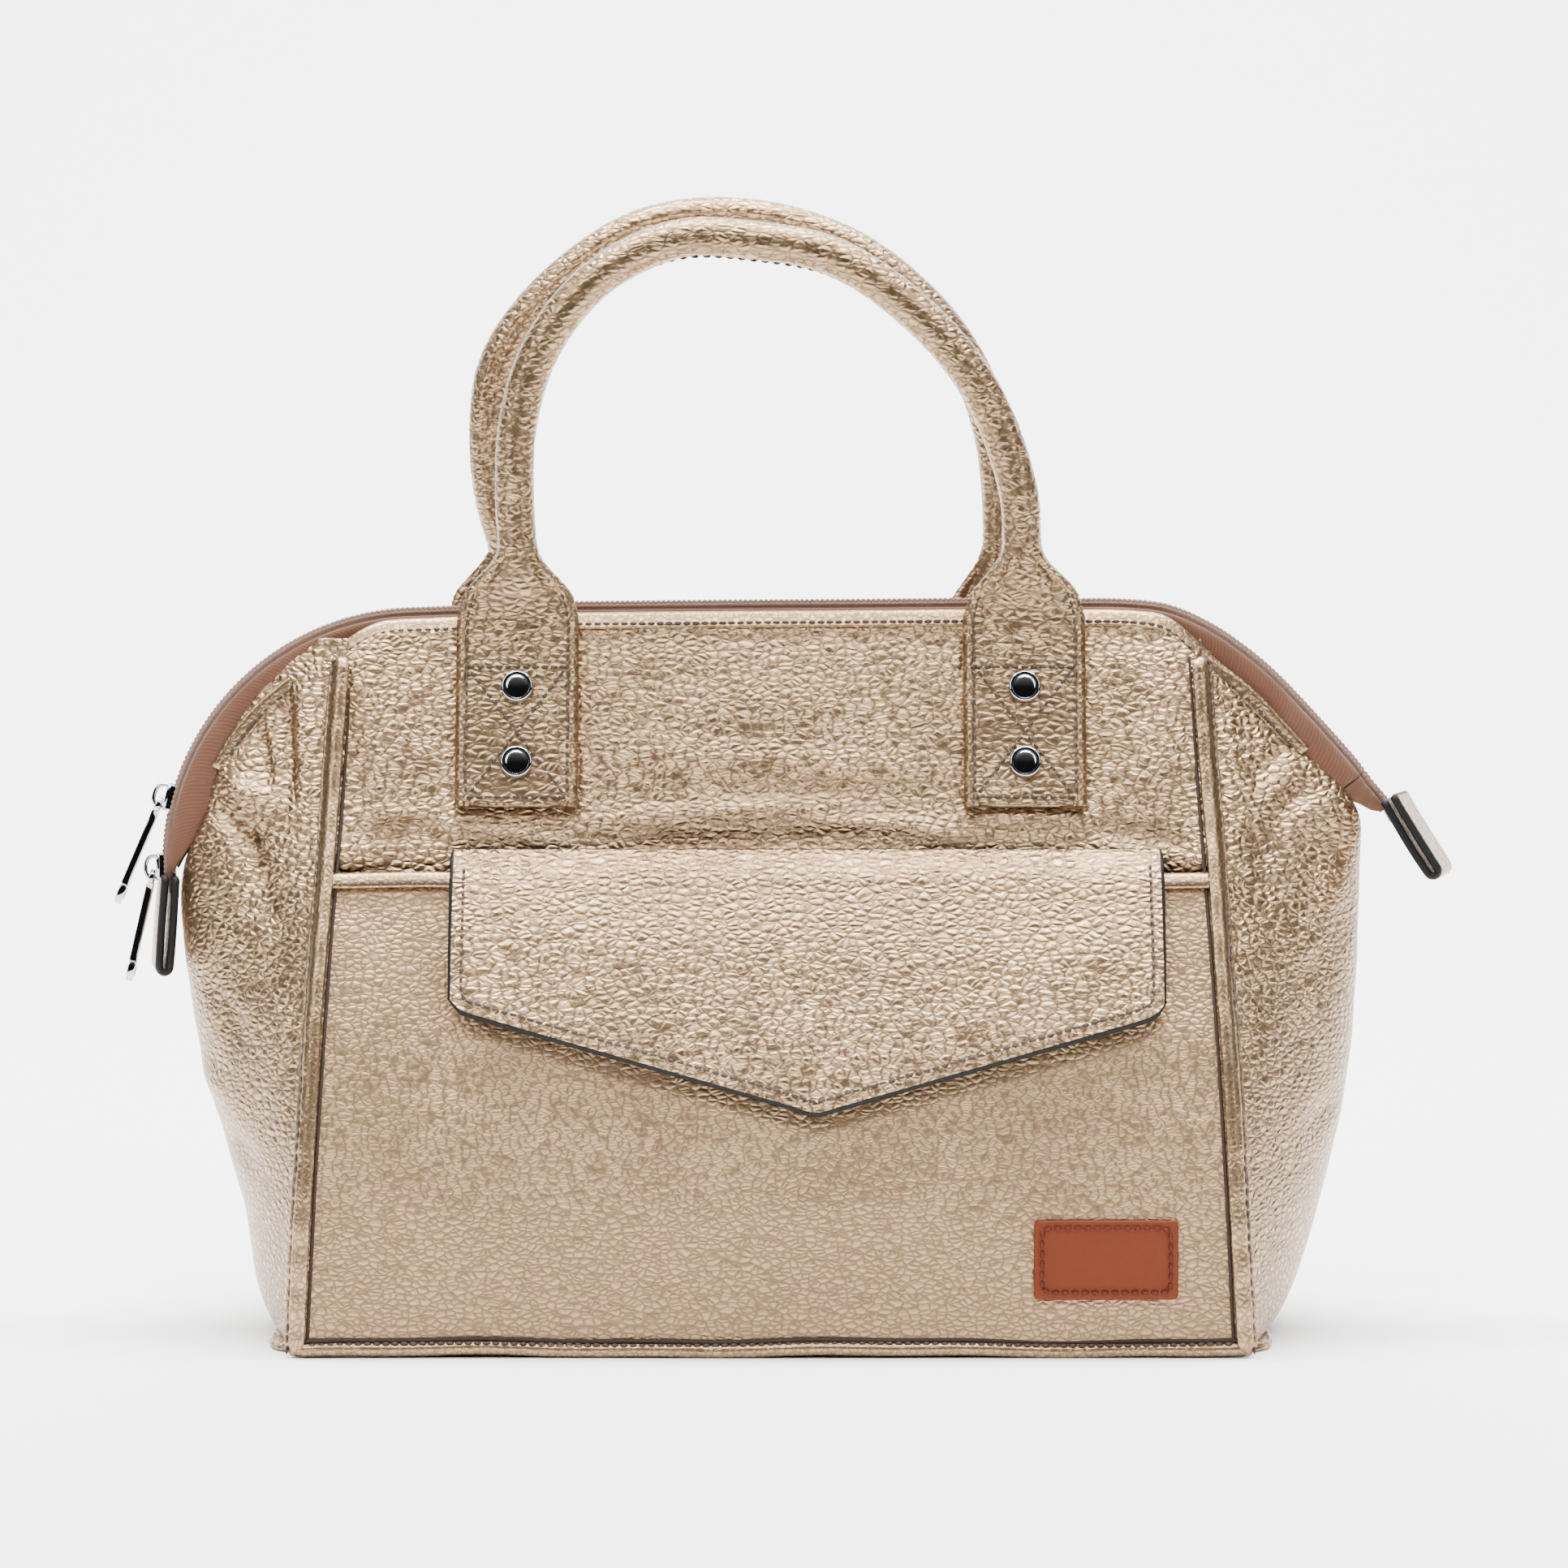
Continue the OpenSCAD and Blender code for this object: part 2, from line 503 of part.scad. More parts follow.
right_tab_out = 8;                       // the pivot of the right tab from the zip's end
right_tab_down = 14;
right_tab_pivot = [right_end[0] + right_tab_out, right_end[1] - right_tab_down];
tail_up = 11;                            // the right zip end shows this far above its tab
module at_right_tab() translate([right_tab_pivot[0], 0, right_tab_pivot[1]])
  rotate([0, tail_lean, 0]) children();
module tail_tab_right() color(gold) at_right_tab() end_tab();
module tail_tape_right() color(coil_brown) at_right_tab()
  translate([-tab_core / 2 + seat, -tape_y, -end_tab_l / 2])
    cube([tab_core - 2 * seat, 2 * tape_y, end_tab_l / 2 + tail_up]);

// What lies on a mouth half is set out in its own leaning plane: X along, Z up the panel,
// and -Y out of it, from the height of the frame pins
module on_mouth() translate([0, -mouth_half_d, hinge_z]) rotate([-lean, 0, 0]) children();
function up_mouth(z) = (z - hinge_z) / cos(lean);
mouth_low_z = split_z + over;
post_fit = gap;
rivet_x = [-handle_span / 2, handle_span / 2];
rivet_z = [rivet_low_z, rivet_low_z + rivet_pitch];
module at_rivets(shift) for (x = rivet_x, z = rivet_z)
  translate([x - shift, 0, up_mouth(z)]) rotate([90, 0, 0]) children();
module rivet_holes(shift) at_rivets(shift) translate([0, 0, -3 * tab_t])
  cylinder(h = 6 * tab_t, d = rivet_post_d + 2 * post_fit, $fn = round_fn);
module top_panel(shift) color(gold) on_mouth() difference() {
  plate_y(0, leather_t) polygon([
    [-side_x(mouth_low_z) + seam_x, up_mouth(mouth_low_z)], [side_x(mouth_low_z) - seam_x, up_mouth(mouth_low_z)],
    [side_x(panel_top_z) - seam_x, up_mouth(panel_top_z)], [-side_x(panel_top_z) + seam_x, up_mouth(panel_top_z)]]);
  rivet_holes(shift);
}
tab_over = 2.2;                          // the tabs reach over the panel by this
tab_top_z = panel_top_z + tab_over;
module tab_shape(z0, z1, w) translate([-w / 2, up_mouth(z0)]) square([w, up_mouth(z1) - up_mouth(z0)]);
module tabs(shift) color(gold) on_mouth() difference() {
  plate_y(-tab_t, 0) for (x = rivet_x) translate([x - shift, 0]) tab_shape(tab_bottom_z, tab_top_z, tab_w);
  rivet_holes(shift);
}
backing_t = 1.2;
backing_share = 0.75;
backing_w = backing_share * tab_w;
backing_margin = 6;                      // past the rivets
module tab_backings(shift) color(card) on_mouth() difference() {
  plate_y(leather_t, leather_t + backing_t) for (x = rivet_x) translate([x - shift, 0])
    tab_shape(rivet_low_z - backing_margin, rivet_low_z + rivet_pitch + backing_margin, backing_w);
  rivet_holes(shift);
}
washer_t = 1;
washer_share = 0.85;
washer_d = washer_share * rivet_cap_d;
cap_share = 0.24;
cap_rise = cap_share * rivet_cap_d;
cap_r = (rivet_cap_d * rivet_cap_d / 4 + cap_rise * cap_rise) / (2 * cap_rise);
cap_a = asin(rivet_cap_d / 2 / cap_r);
module rivets(shift) color(steel) on_mouth() at_rivets(shift) {
  translate([0, 0, -leather_t - backing_t - washer_t])
    cylinder(h = leather_t + backing_t + washer_t + tab_t + over / 2, d = rivet_post_d, $fn = round_fn);
  translate([0, 0, tab_t]) rotate_extrude($fn = round_fn) polygon(concat([[0, 0], [rivet_cap_d / 2, 0]],
    [for (i = [1:5]) [cap_r * sin(cap_a * (1 - i / 6)), cap_r * cos(cap_a * (1 - i / 6)) - cap_r + cap_rise]],
    [[0, cap_rise]]));
}
module rivet_washers(shift) color(steel) on_mouth() at_rivets(shift)
  translate([0, 0, -leather_t - backing_t - washer_t]) difference() {
    cylinder(h = washer_t, d = washer_d, $fn = round_fn);
    translate([0, 0, -over]) cylinder(h = washer_t + 2 * over, d = rivet_post_d + 2 * post_fit, $fn = round_fn);
  }

// Corner pieces between a top panel's piping and the trim on the slope
slope_y = trim_y + trim_t + gap;
// The slope's edge follows the zip line, inward by the facing and the trim. A corner piece has
// rows from the side piping to that edge, and starts inside the gusset at its lower end
slope_in = facing_end + trim_w + leather_t;
seam_rows = [166, 180, 191, 200];
left_slope_a = [153, 141, 129, 118];
left_slope = [for (a = left_slope_a) arc_pt(a, zip_r - slope_in)];
right_slope = [for (k = [1, 2, 4, 5]) let (i = len(mouth_line) - k)
  mouth_line[i] + slope_in * normal(mouth_line, i)];
tuck_shares = [1, 0.7, 0.4];
tuck = 2.8;                              // the corner piece starts this far inside the gusset
mid_share = sin(45);
module corner(slope, sx) {
  tucked = [for (t = tuck_shares) let (g = gusset_pt(split_z, t, tuck)) [sx * g[0], g[1], mouth_low_z]];
  risen = [for (i = [0:len(slope) - 1]) let (z = seam_rows[i], q = slope[i], x = sx * (side_x(z) + seam_x),
      y = slope_y + leather_t)
    [[x, mouth_y(z), z], [x + mid_share * (q[0] - x), (mouth_y(z) + y) / 2, (z + q[1]) / 2],
      [q[0], y, q[1]]]];
  rows = [for (w = [0, leather_t]) [for (r = concat([tucked], risen)) [for (q = r) [q[0], w - q[1], q[2]]]]];
  sheet(sx > 0 ? rows[0] : rows[1], sx > 0 ? rows[1] : rows[0]);
}
module gusset_tops() color(gold) {
  corner(left_slope, -1);
  corner(right_slope, 1);
}
piping_step = 14;
piping_short = 10;                       // the pipings end this far below the panel's top
module piping_tops() color(gold) for (sx = [-1, 1])
  tube([for (z = [mouth_low_z, hinge_z, hinge_z + piping_step, hinge_z + 2 * piping_step,
    panel_top_z - piping_short])
    [sx * side_x(z), -mouth_y(z) + piping_r, z]], piping_r, [1, 0, 0], tube_fn);
trim_h = [for (h = facing_h(mouth_line)) h];
module trim() color(gold_dark)
  strip_band(mouth_line, trim_h, [for (h = trim_h) h + trim_w], trim_y, trim_y + trim_t);
facing_under = 1.5;                      // the facing lies this far under the trim
module facing() color(twill)
  strip_band(mouth_line, same(mouth_line, facing_low), [for (h = trim_h) h + facing_under],
    facing_y, facing_y + facing_t);

// Steel frame strip with a lug round the pin at each end
frame_line = [for (i = [1:len(mouth_line) - 3]) mouth_line[i]];
module frame(lug_x) color(steel) union() {
  strip_band(frame_line, same(frame_line, frame_in), same(frame_line, frame_in + frame_w), frame_y - frame_t, frame_y);
  for (s = [false, true]) right_half(s) {
    difference() {
      union() {
        translate([lug_x, 0, hinge_z]) rotate([0, 90, 0]) cylinder(h = lug_t, r = lug_r, $fn = round_fn);
        translate([lug_x, -frame_y, hinge_z - lug_r]) cube([lug_t, frame_y, 2 * lug_r]);
      }
      translate([lug_x - over, 0, hinge_z]) rotate([0, 90, 0])
        cylinder(h = lug_t + 2 * over, d = pin_d + 2 * gap, $fn = round_fn);
    }
    end = s ? frame_line[len(frame_line) - 1] : [-frame_line[0][0], frame_line[0][1]];
    low = [lug_x, hinge_z - lug_r];
    plate_y(-frame_y, -frame_y + frame_t) polygon([low, low + [lug_t, 0], low + [lug_t, 2 * lug_r],
      end - [frame_in, frame_in / 3], end - [frame_in + frame_w, frame_w], low + [0, 2 * lug_r]]);
  }
}

// Handles
neck_out = 1.2;                          // the necks turn on a line this far outside the mouth's top
handle_y = mouth_top_d + neck_out;
neck_rise = 3.4;
handle_z = tab_top_z + neck_rise;
neck_r = 2.4;
neck_h = 15.5;
neck_top_z = handle_z + neck_h;
neck_in = 2.6;
neck_w = tab_w - neck_in;
arch_out = 1.5;                          // the arch stands this far outside its necks
front_handle_shares = [[-1, 0], [-1.012, 0.193], [-0.999, 0.401], [-0.927, 0.609], [-0.785, 0.79],
  [-0.595, 0.919], [-0.344, 0.998], [-0.063, 0.99], [0.22, 0.946], [0.471, 0.829], [0.724, 0.634],
  [0.881, 0.428], [0.976, 0.193], [0.992, 0]];
back_handle_shares = [[-1, 0], [-1.064, 0.18], [-1.08, 0.373], [-1.047, 0.544], [-0.935, 0.69],
  [-0.744, 0.836], [-0.489, 0.957], [-0.2, 1], [0.12, 0.975], [0.414, 0.888], [0.668, 0.735],
  [0.841, 0.561], [0.935, 0.375], [0.975, 0.184], [0.98, 0]];
function handle_line(shares, rise, shift) = smooth([for (s = shares)
  [s[0] * handle_span / 2 - shift, -handle_y - arch_out, neck_top_z + s[1] * rise]], 2);
module handle(shares, rise, shift) color(gold) {
  p = handle_line(shares, rise, shift);
  pipe(p, handle_d / 2, handle_wall, [0, 1, 0], tube_fn);
  for (i = [0, len(p) - 1]) hull() {
    translate([i == 0 ? rivet_x[0] - shift : rivet_x[1] - shift, -handle_y, handle_z]) rotate([0, 90, 0])
      cylinder(h = neck_w, r = neck_r, center = true, $fn = 24);
    translate([p[i][0], p[i][1], neck_top_z - 1]) cylinder(h = 2, d = handle_d + 1, $fn = 24);
  }
}
module handle_core(shares, rise, shift) color(cloth)
  tube([for (l = [handle_line(shares, rise, shift)], i = [2:len(l) - 3]) l[i]],
    handle_d / 2 - handle_wall - gap, [0, 1, 0], core_fn);

// Sliders ride the round shoulder of the zip. Each is drawn at its own angle on it,
// with +X up the zip, +Z out of the bag
plate_t = 1.2;
pull_hole_share = 0.8;                   // of a pull's width, from its end to its hole
bail_w = 2.4;
bail_l = 7;
bail_rise = 4;
bail_rod = 1.2;
lower_stop_a = 1.4;                      // the lower slider stands this far above the coil's end
slider_apart_a = 15.6;                   // and the upper one this far above it
lower_a = tail_a - lower_stop_a;
upper_a = lower_a - slider_apart_a;
module on_arc(a) translate([arc_pt(a, zip_r)[0], 0, arc_pt(a, zip_r)[1]]) rotate([0, 90 - a, 0]) children();
module slider(a) color(steel) on_arc(a) union() {
  translate([-slider_l / 2, -slider_w / 2, gap]) cube([slider_l, slider_w, plate_t]);
  for (s = [-1, 1]) translate([-slider_l / 2, s * (slider_w / 2 - plate_t / 2) - plate_t / 2, -coil_t + gap + 0.1])
    cube([slider_l, plate_t, coil_t + plate_t - gap]);
  translate([-slider_l / 2, -slider_w / 2, -coil_t - tape_t - gap - plate_t]) cube([slider_l, slider_w, plate_t - 0.2]);
  translate([slider_l / 6, -(coil_gap / 2 - gap), -coil_t - tape_t - gap - plate_t / 2])
    cube([slider_l / 4, coil_gap - 2 * gap, coil_t + tape_t + 2 * gap + plate_t]);
  difference() {
    translate([-bail_l / 2, -bail_w / 2, gap + plate_t / 2]) cube([bail_l, bail_w, plate_t / 2 + bail_rise]);
    translate([-bail_l / 2 + bail_rod, -bail_w / 2 - over, gap + plate_t])
      cube([bail_l - 2 * bail_rod, bail_w + 2 * over, bail_rise - bail_rod]);
  }
}
pull_slot_w = bail_w + 2 * gap;
pull_at_x = -1.4;
pull_at_z = gap + plate_t + (bail_rise - bail_rod) / 2;
module pull(a, turn) color(steel) on_arc(a) translate([pull_at_x, 0, pull_at_z]) rotate([0, turn, 0]) {
  difference() {
    translate([-pull_t / 2, -pull_w / 2, -pull_l + pull_t / 2]) cube([pull_t, pull_w, pull_l]);
    translate([-pull_t, -pull_slot_w / 2, -bail_rise - 2 * gap])
      cube([2 * pull_t, pull_slot_w, bail_rise + 2 * gap - pull_t / 2]);
    translate([-pull_t, 0, -pull_l + pull_w * pull_hole_share]) rotate([0, 90, 0])
      cylinder(h = 2 * pull_t, d = pull_w / 2, $fn = round_fn);
  }
}
upper_pull_turn = 98;
lower_pull_turn = 103.3;

module front_top_panel() top_panel(0);
module front_gusset_tops() gusset_tops();
module front_piping_tops() piping_tops();
module front_trim() trim();
module front_facing() facing();
module front_tape() color(twill) tape(mouth_line);
module front_coil() color(coil_brown) coil(mouth_line);
module front_frame() frame(front_lug_x);
module front_tabs() tabs(0);
module front_tab_backings() tab_backings(0);
module front_rivets() rivets(0);
module front_rivet_washers() rivet_washers(0);
module back_top_panel() half(false) top_panel(back_shift);
module back_gusset_tops() half(false) gusset_tops();
module back_piping_tops() half(false) piping_tops();
module back_trim() half(false) trim();
module back_facing() half(false) facing();
module back_tape() color(twill) half(false) tape(mouth_line);
module back_coil() color(coil_brown) half(false) coil(mouth_line);
module back_frame() half(false) frame(back_lug_x);
module back_tabs() half(false) tabs(back_shift);
module back_tab_backings() half(false) tab_backings(back_shift);
module back_rivets() half(false) rivets(back_shift);
module back_rivet_washers() half(false) rivet_washers(back_shift);
module front_handle() handle(front_handle_shares, handle_rise, 0);
module front_handle_core() handle_core(front_handle_shares, handle_rise, 0);
module back_handle() half(false) handle(back_handle_shares, back_handle_rise, back_shift);
module back_handle_core() half(false) handle_core(back_handle_shares, back_handle_rise, back_shift);
module slider_upper() slider(upper_a);
module slider_lower() slider(lower_a);
module pull_upper() pull(upper_a, upper_pull_turn);
module pull_lower() pull(lower_a, lower_pull_turn);

base_panel();
base_board();
front_panel();
back_panel();
gusset_left();
gusset_right();
piping_front();
piping_back();
piping_base();
pocket_panel();
pocket_seams();
pocket_binding();
pocket_magnet();
patch();
flap_strip();
lining();
frame_stays();
frame_pins();
tail_facing_left();
tail_facing_right();
tail_tape_left();
tail_coil_left();
tail_tab_left();
front_top_panel();
front_gusset_tops();
front_piping_tops();
front_trim();
front_facing();
front_tape();
front_coil();
front_frame();
front_tabs();
front_tab_backings();
front_rivets();
front_rivet_washers();
back_top_panel();
back_gusset_tops();
back_piping_tops();
back_trim();
back_facing();
back_tape();
back_coil();
back_frame();
back_tabs();
back_tab_backings();
back_rivets();
back_rivet_washers();
front_handle();
front_handle_core();
back_handle();
back_handle_core();
flap_outer();
flap_lining();
flap_magnet();
slider_upper();
slider_lower();
pull_upper();
pull_lower();
tail_tape_right();
tail_tab_right();
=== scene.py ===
"""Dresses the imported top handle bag: pebbled metallic leather, twill, coil zip and nickel fittings.

Shapes are worked out in millimetres with numpy and put into meshes in metres, in the CAD frame:
+X right, -Y out of the front, +Z up, and the origin in the middle of the underside.
"""
import math

import bpy
import numpy as np
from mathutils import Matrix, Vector


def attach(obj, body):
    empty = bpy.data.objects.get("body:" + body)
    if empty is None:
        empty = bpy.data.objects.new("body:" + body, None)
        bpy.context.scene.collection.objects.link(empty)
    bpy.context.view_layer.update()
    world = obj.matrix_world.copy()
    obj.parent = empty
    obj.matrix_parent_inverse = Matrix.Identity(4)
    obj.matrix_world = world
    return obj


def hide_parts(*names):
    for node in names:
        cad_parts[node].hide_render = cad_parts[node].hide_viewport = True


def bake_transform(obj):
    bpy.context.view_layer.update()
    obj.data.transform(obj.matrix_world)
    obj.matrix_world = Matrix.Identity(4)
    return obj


bl_info = {
    "name": "Framed top handle bag",
    "version": (1, 0, 0),
    "blender": (4, 5, 0),
    "location": "View3D > Sidebar > Bag",
    "description": "Leather shell, flap pocket, rolled handles, zip and fittings round the packed frame",
    "category": "Object",
}

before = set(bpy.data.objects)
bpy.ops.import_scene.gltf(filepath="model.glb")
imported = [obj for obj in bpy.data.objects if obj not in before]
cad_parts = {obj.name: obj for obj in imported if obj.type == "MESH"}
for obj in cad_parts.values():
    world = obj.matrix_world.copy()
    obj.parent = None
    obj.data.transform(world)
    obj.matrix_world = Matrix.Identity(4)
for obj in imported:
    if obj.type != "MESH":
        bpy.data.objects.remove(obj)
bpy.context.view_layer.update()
MM = 0.001

# Main heights and depths of the bag, in millimetres
HINGE_Z = 160.0
PANEL_TOP = 207.0
HALF_D = 24.0
TOP_D = 10.8
LEAN = math.atan((HALF_D - TOP_D) / (PANEL_TOP - HINGE_Z))
POCKET_TOP = 132.4
PATCH_AT = (95, 27.9)
PATCH_HALF = (19.7, 10.6)
HANDLE_X = 73.5
RIVET_Z = (167.2, 188.8)
BACK_SHIFT = 4.0
ZIP_R = 75.3
ARC_X = -103.19
ARC_Z = 136.0

# Lines from one body to the next, each a start and an end, in metres
MOUTH_FOLD = ((0, -0.025, 0.125), (0, -0.040, 0.140))
ZIP_FOLD = ((0, 0, 0.156), (0, 0, 0.170))

FLIP = (1, 0, 3, 2)  # order that turns a face over and keeps a triangle's doubled corner last
SIDES = ((-1, "left"), (1, "right"))


def linear(code):
    """Linear RGB of an sRGB hex colour, each channel through the sRGB curve."""
    parts = [int(code[i:i + 2], 16) / 255 for i in (1, 3, 5)]
    return tuple(c / 12.92 if c <= 0.04045 else ((c + 0.055) / 1.055) ** 2.4 for c in parts)


def colour_prop(name, code, text):
    return bpy.props.FloatVectorProperty(name=name, description=text, subtype="COLOR", size=3, min=0, max=1,
                                         default=linear(code))


def length_prop(name, value, text):
    return bpy.props.FloatProperty(name=name, description=text, unit="LENGTH", default=value * MM, min=0,
                                   precision=5)


class BagSizes(bpy.types.PropertyGroup):
    """Sizes that a maker of this bag would change."""
    pebble: length_prop("Pebble", 3.1, "Width of one pebble of the grain")
    grain_depth: length_prop("Grain depth", 0.5, "Depth of the grooves between the pebbles")
    stitch_pitch: length_prop("Stitch pitch", 2.6, "Distance from one stitch to the next")
    stitch_radius: length_prop("Thread radius", 0.38, "Radius of the sewing thread")
    coil_pitch: length_prop("Coil pitch", 1.5, "Distance between two turns of the zip coil")
    twill_rib: length_prop("Twill rib", 0.75, "Distance between two ribs of the twill, drawn coarse to show")
    piping_w: length_prop("Piping width", 6.6, "Width of the piping over the side seams")
    rivet_d: length_prop("Rivet diameter", 9.3, "Diameter of the rivet caps")


class BagColours(bpy.types.PropertyGroup):
    """Colours of the bag's materials."""
    gold: colour_prop("Leather", "#A68B6B", "Metallic champagne face of the leather")
    # The groove colour is painted shade, laid in the bottom of the grain's grooves
    groove: colour_prop("Leather groove shade", "#4E3C2B", "Bottom of the grain's grooves")
    blush: colour_prop("Leather blush", "#B48A75", "Warm patches where the foil is thin")
    edge: colour_prop("Painted edge", "#141313", "Cut edges, painted dark")
    # Near-black brown of the dark strips in the seams: raw edges, coloured as painted shade in the seam gaps
    raw_edge_and_shade: colour_prop("Raw edge and painted seam shade", "#2A1A11", "Raw edges down in the seams")
    thread: colour_prop("Thread", "#33231A", "Sewing thread of the bag")
    tan: colour_prop("Patch", "#5C2409", "Smooth tan leather of the patch")
    tan_thread: colour_prop("Patch thread", "#4A1C0C", "Thread round the patch")
    twill: colour_prop("Twill", "#60391F", "Facing beside the zip")
    coil: colour_prop("Coil", "#6F4E39", "Nylon coil of the zip")
    nickel: colour_prop("Nickel", "#B4B5B8", "Plated rivets, sliders and pulls")
    steel: colour_prop("Steel", "#8E9296", "Spring steel frame in the mouth")
    lining: colour_prop("Lining", "#6B5A4B", "Woven lining")
    board: colour_prop("Board", "#8C8478", "Pressed board of the base and backings")
    cotton: colour_prop("Cotton", "#CFC6B4", "Twisted core of the handles")
    floor: colour_prop("Floor", "#F7F7F7", "Plain paper floor and backdrop")


# Meshes

def mm(value):
    """A size in metres, in millimetres."""
    return value / MM


def stacked(*parts):
    """Arrays of fitting shapes as the coordinates of one array."""
    return np.stack(np.broadcast_arrays(*parts), -1)


def around(count):
    """Angles in even steps over a full turn."""
    return np.linspace(0, 2 * math.pi, count, endpoint=False)


def powered(value, exponent):
    """A value raised to an exponent with its sign kept."""
    return np.sign(value) * np.abs(value) ** exponent


def rounded_box(x, y, count, x_power, y_power):
    """Outline of a rectangle of half widths x and y whose corners are rounder the nearer the exponents
    are to 1: a circle with its cosine and sine raised to them."""
    a = around(count)
    return stacked(x * powered(np.cos(a), x_power), y * powered(np.sin(a), y_power))


def run_along(path):
    """Distance along a line at each of its points."""
    return np.r_[0, np.cumsum(np.linalg.norm(np.diff(path, axis=0), axis=1))]


def quads(rows, cols, closed=False):
    """Corner indices of a grid's faces, row by row. A closed grid joins its last column to its first."""
    j = np.arange(cols if closed else cols - 1)
    row = np.arange(rows - 1)[:, None] * cols
    a, b = row + j, row + (j + 1) % cols
    return stacked(a, b, b + cols, a + cols).reshape(-1, 4)


def unit(v):
    """Vectors divided by their lengths."""
    return v / np.maximum(np.linalg.norm(v, axis=-1, keepdims=True), 1e-9)


def grid_normals(p):
    """Normal of a grid of points: its change along the columns crossed with its change along the rows."""
    return unit(np.cross(np.gradient(p, axis=1), np.gradient(p, axis=0)))


def volume(points, faces):
    """Signed volume: one sixth of the sum of the triple products of each face's triangles."""
    total = 0.0
    for k in range(2, faces.shape[1]):
        a, b, c = points[faces[:, 0]], points[faces[:, k - 1]], points[faces[:, k]]
        total += np.einsum("ij,ij->i", a, np.cross(b, c)).sum() / 6
    return total


def solid(points, faces, uv=None, skin=0):
    """A solid as points, faces, uv and material numbers, with its faces turned to point outwards."""
    points = np.asarray(points, float).reshape(-1, 3)
    if volume(points - points.mean(0), faces) < 0:
        faces = faces[:, FLIP]
    uv = np.zeros((len(points), 2)) if uv is None else np.asarray(uv, float).reshape(-1, 2)
    skins = np.broadcast_to(skin, len(faces)) if np.ndim(skin) == 0 else skin
    return points, faces, uv, np.array(skins)


def shell(p, thick, edge=0, uv=None, steps=3):
    """A sheet of leather or cloth: the grid p is its face, and its back is p less thick times the normal.
    Its edge is half a circle of that thickness, and takes the second material where edge is 1."""
    rows, cols = p.shape[:2]
    n = grid_normals(p)
    thick = np.broadcast_to(thick, (rows, cols))[..., None]
    back = p - n * thick
    i, j = np.arange(rows), np.arange(cols)
    loop = np.concatenate([j, i[1:] * cols + cols - 1, (rows - 1) * cols + j[-2::-1], i[-2:0:-1] * cols])
    inner = np.concatenate([cols + np.clip(j, 1, cols - 2), np.clip(i[1:], 1, rows - 2) * cols + cols - 2,
                            (rows - 2) * cols + np.clip(j[-2::-1], 1, cols - 2), i[-2:0:-1] * cols + 1])
    flat, flat_back, flat_n = p.reshape(-1, 3), back.reshape(-1, 3), n.reshape(-1, 3)
    out = unit(flat[loop] - flat[inner])
    half = thick.reshape(-1, 1)[loop] / 2
    middle = (flat[loop] + flat_back[loop]) / 2
    turn = np.linspace(0, math.pi, steps + 2)[1:-1]
    rims = [middle + half * (math.cos(t) * flat_n[loop] + math.sin(t) * out) for t in turn]
    points = np.concatenate([flat, flat_back] + rims)
    face = quads(rows, cols)
    count, size = len(flat), len(loop)
    lines = [loop] + [2 * count + k * size + np.arange(size) for k in range(steps)] + [loop + count]
    side = [stacked(a, b, np.roll(b, -1), np.roll(a, -1)) for a, b in zip(lines, lines[1:])]
    faces = np.concatenate([face, face[:, FLIP] + count] + side)
    skins = np.zeros(len(faces), int)
    skins[2 * len(face):] = edge
    if uv is None:
        uv = stacked(np.linspace(0, 1, cols)[None], np.linspace(0, 1, rows)[:, None])
    uv = uv.reshape(-1, 2)
    return solid(points, faces, np.concatenate([uv, uv] + [uv[loop]] * steps), skins)


def loft(rings, uv=None):
    """A closed solid through rings of equal count, with each end closed by a fan round its middle."""
    rows, cols = rings.shape[:2]
    points = np.concatenate([rings.reshape(-1, 3), rings[:1].mean(1), rings[-1:].mean(1)])
    j = np.arange(cols)
    k = (j + 1) % cols
    last = (rows - 1) * cols
    low = stacked(rows * cols, k, j, j)
    high = stacked(rows * cols + 1, last + j, last + k, last + k)
    faces = np.concatenate([quads(rows, cols, True), low, high])
    if uv is not None:
        uv = uv.reshape(-1, 2)
        uv = np.concatenate([uv, uv[:1], uv[-1:]])
    return solid(points, faces, uv)


def frames(path):
    """Tangent, inner normal and side vectors of a line, with the side vector kept near the Y axis."""
    t = unit(np.gradient(path, axis=0))
    b = unit(np.cross(t, (0.0, 1.0, 0.0)))
    return t, b, np.cross(b, t)


def ringed(path, across, out, wide, high):
    """Rings round a line: at each point, offsets along two vectors."""
    return path[:, None] + across[:, None] * wide[..., None] + out[:, None] * high[..., None]


def tube(path, radius, sides):
    """A round bar: rings of one radius round the path, with domed ends."""
    t, b, s = frames(path)
    a = around(sides)
    cap = np.radians([80, 60, 35])
    rings = [(path[0] - t[0] * radius * math.sin(c), b[0], s[0], radius * math.cos(c)) for c in cap]
    rings += [(*row, radius) for row in zip(path, b, s)]
    rings += [(path[-1] + t[-1] * radius * math.sin(c), b[-1], s[-1], radius * math.cos(c)) for c in cap[::-1]]
    p, b, s, r = (np.array([q[k] for q in rings]) for k in range(4))
    r = r[:, None]
    return loft(ringed(p, b, s, r * np.cos(a), r * np.sin(a)), stacked(a * radius, run_along(p)[:, None]))


def joined(parts):
    """Several solids as one list of points, faces, uv and material numbers."""
    offset, out = 0, [[], [], [], []]
    for points, faces, uv, skins in parts:
        for store, item in zip(out, (points, faces + offset, uv, skins)):
            store.append(item)
        offset += len(points)
    return tuple(np.concatenate(x) for x in out)


def mirrored(item):
    """The solid reflected from the front to the back, with its faces turned back."""
    points, faces, uv, skins = item
    return points * (1.0, -1.0, 1.0), faces[:, FLIP], uv, skins


def both(item):
    """A solid and its reflection."""
    return joined([item, mirrored(item)])


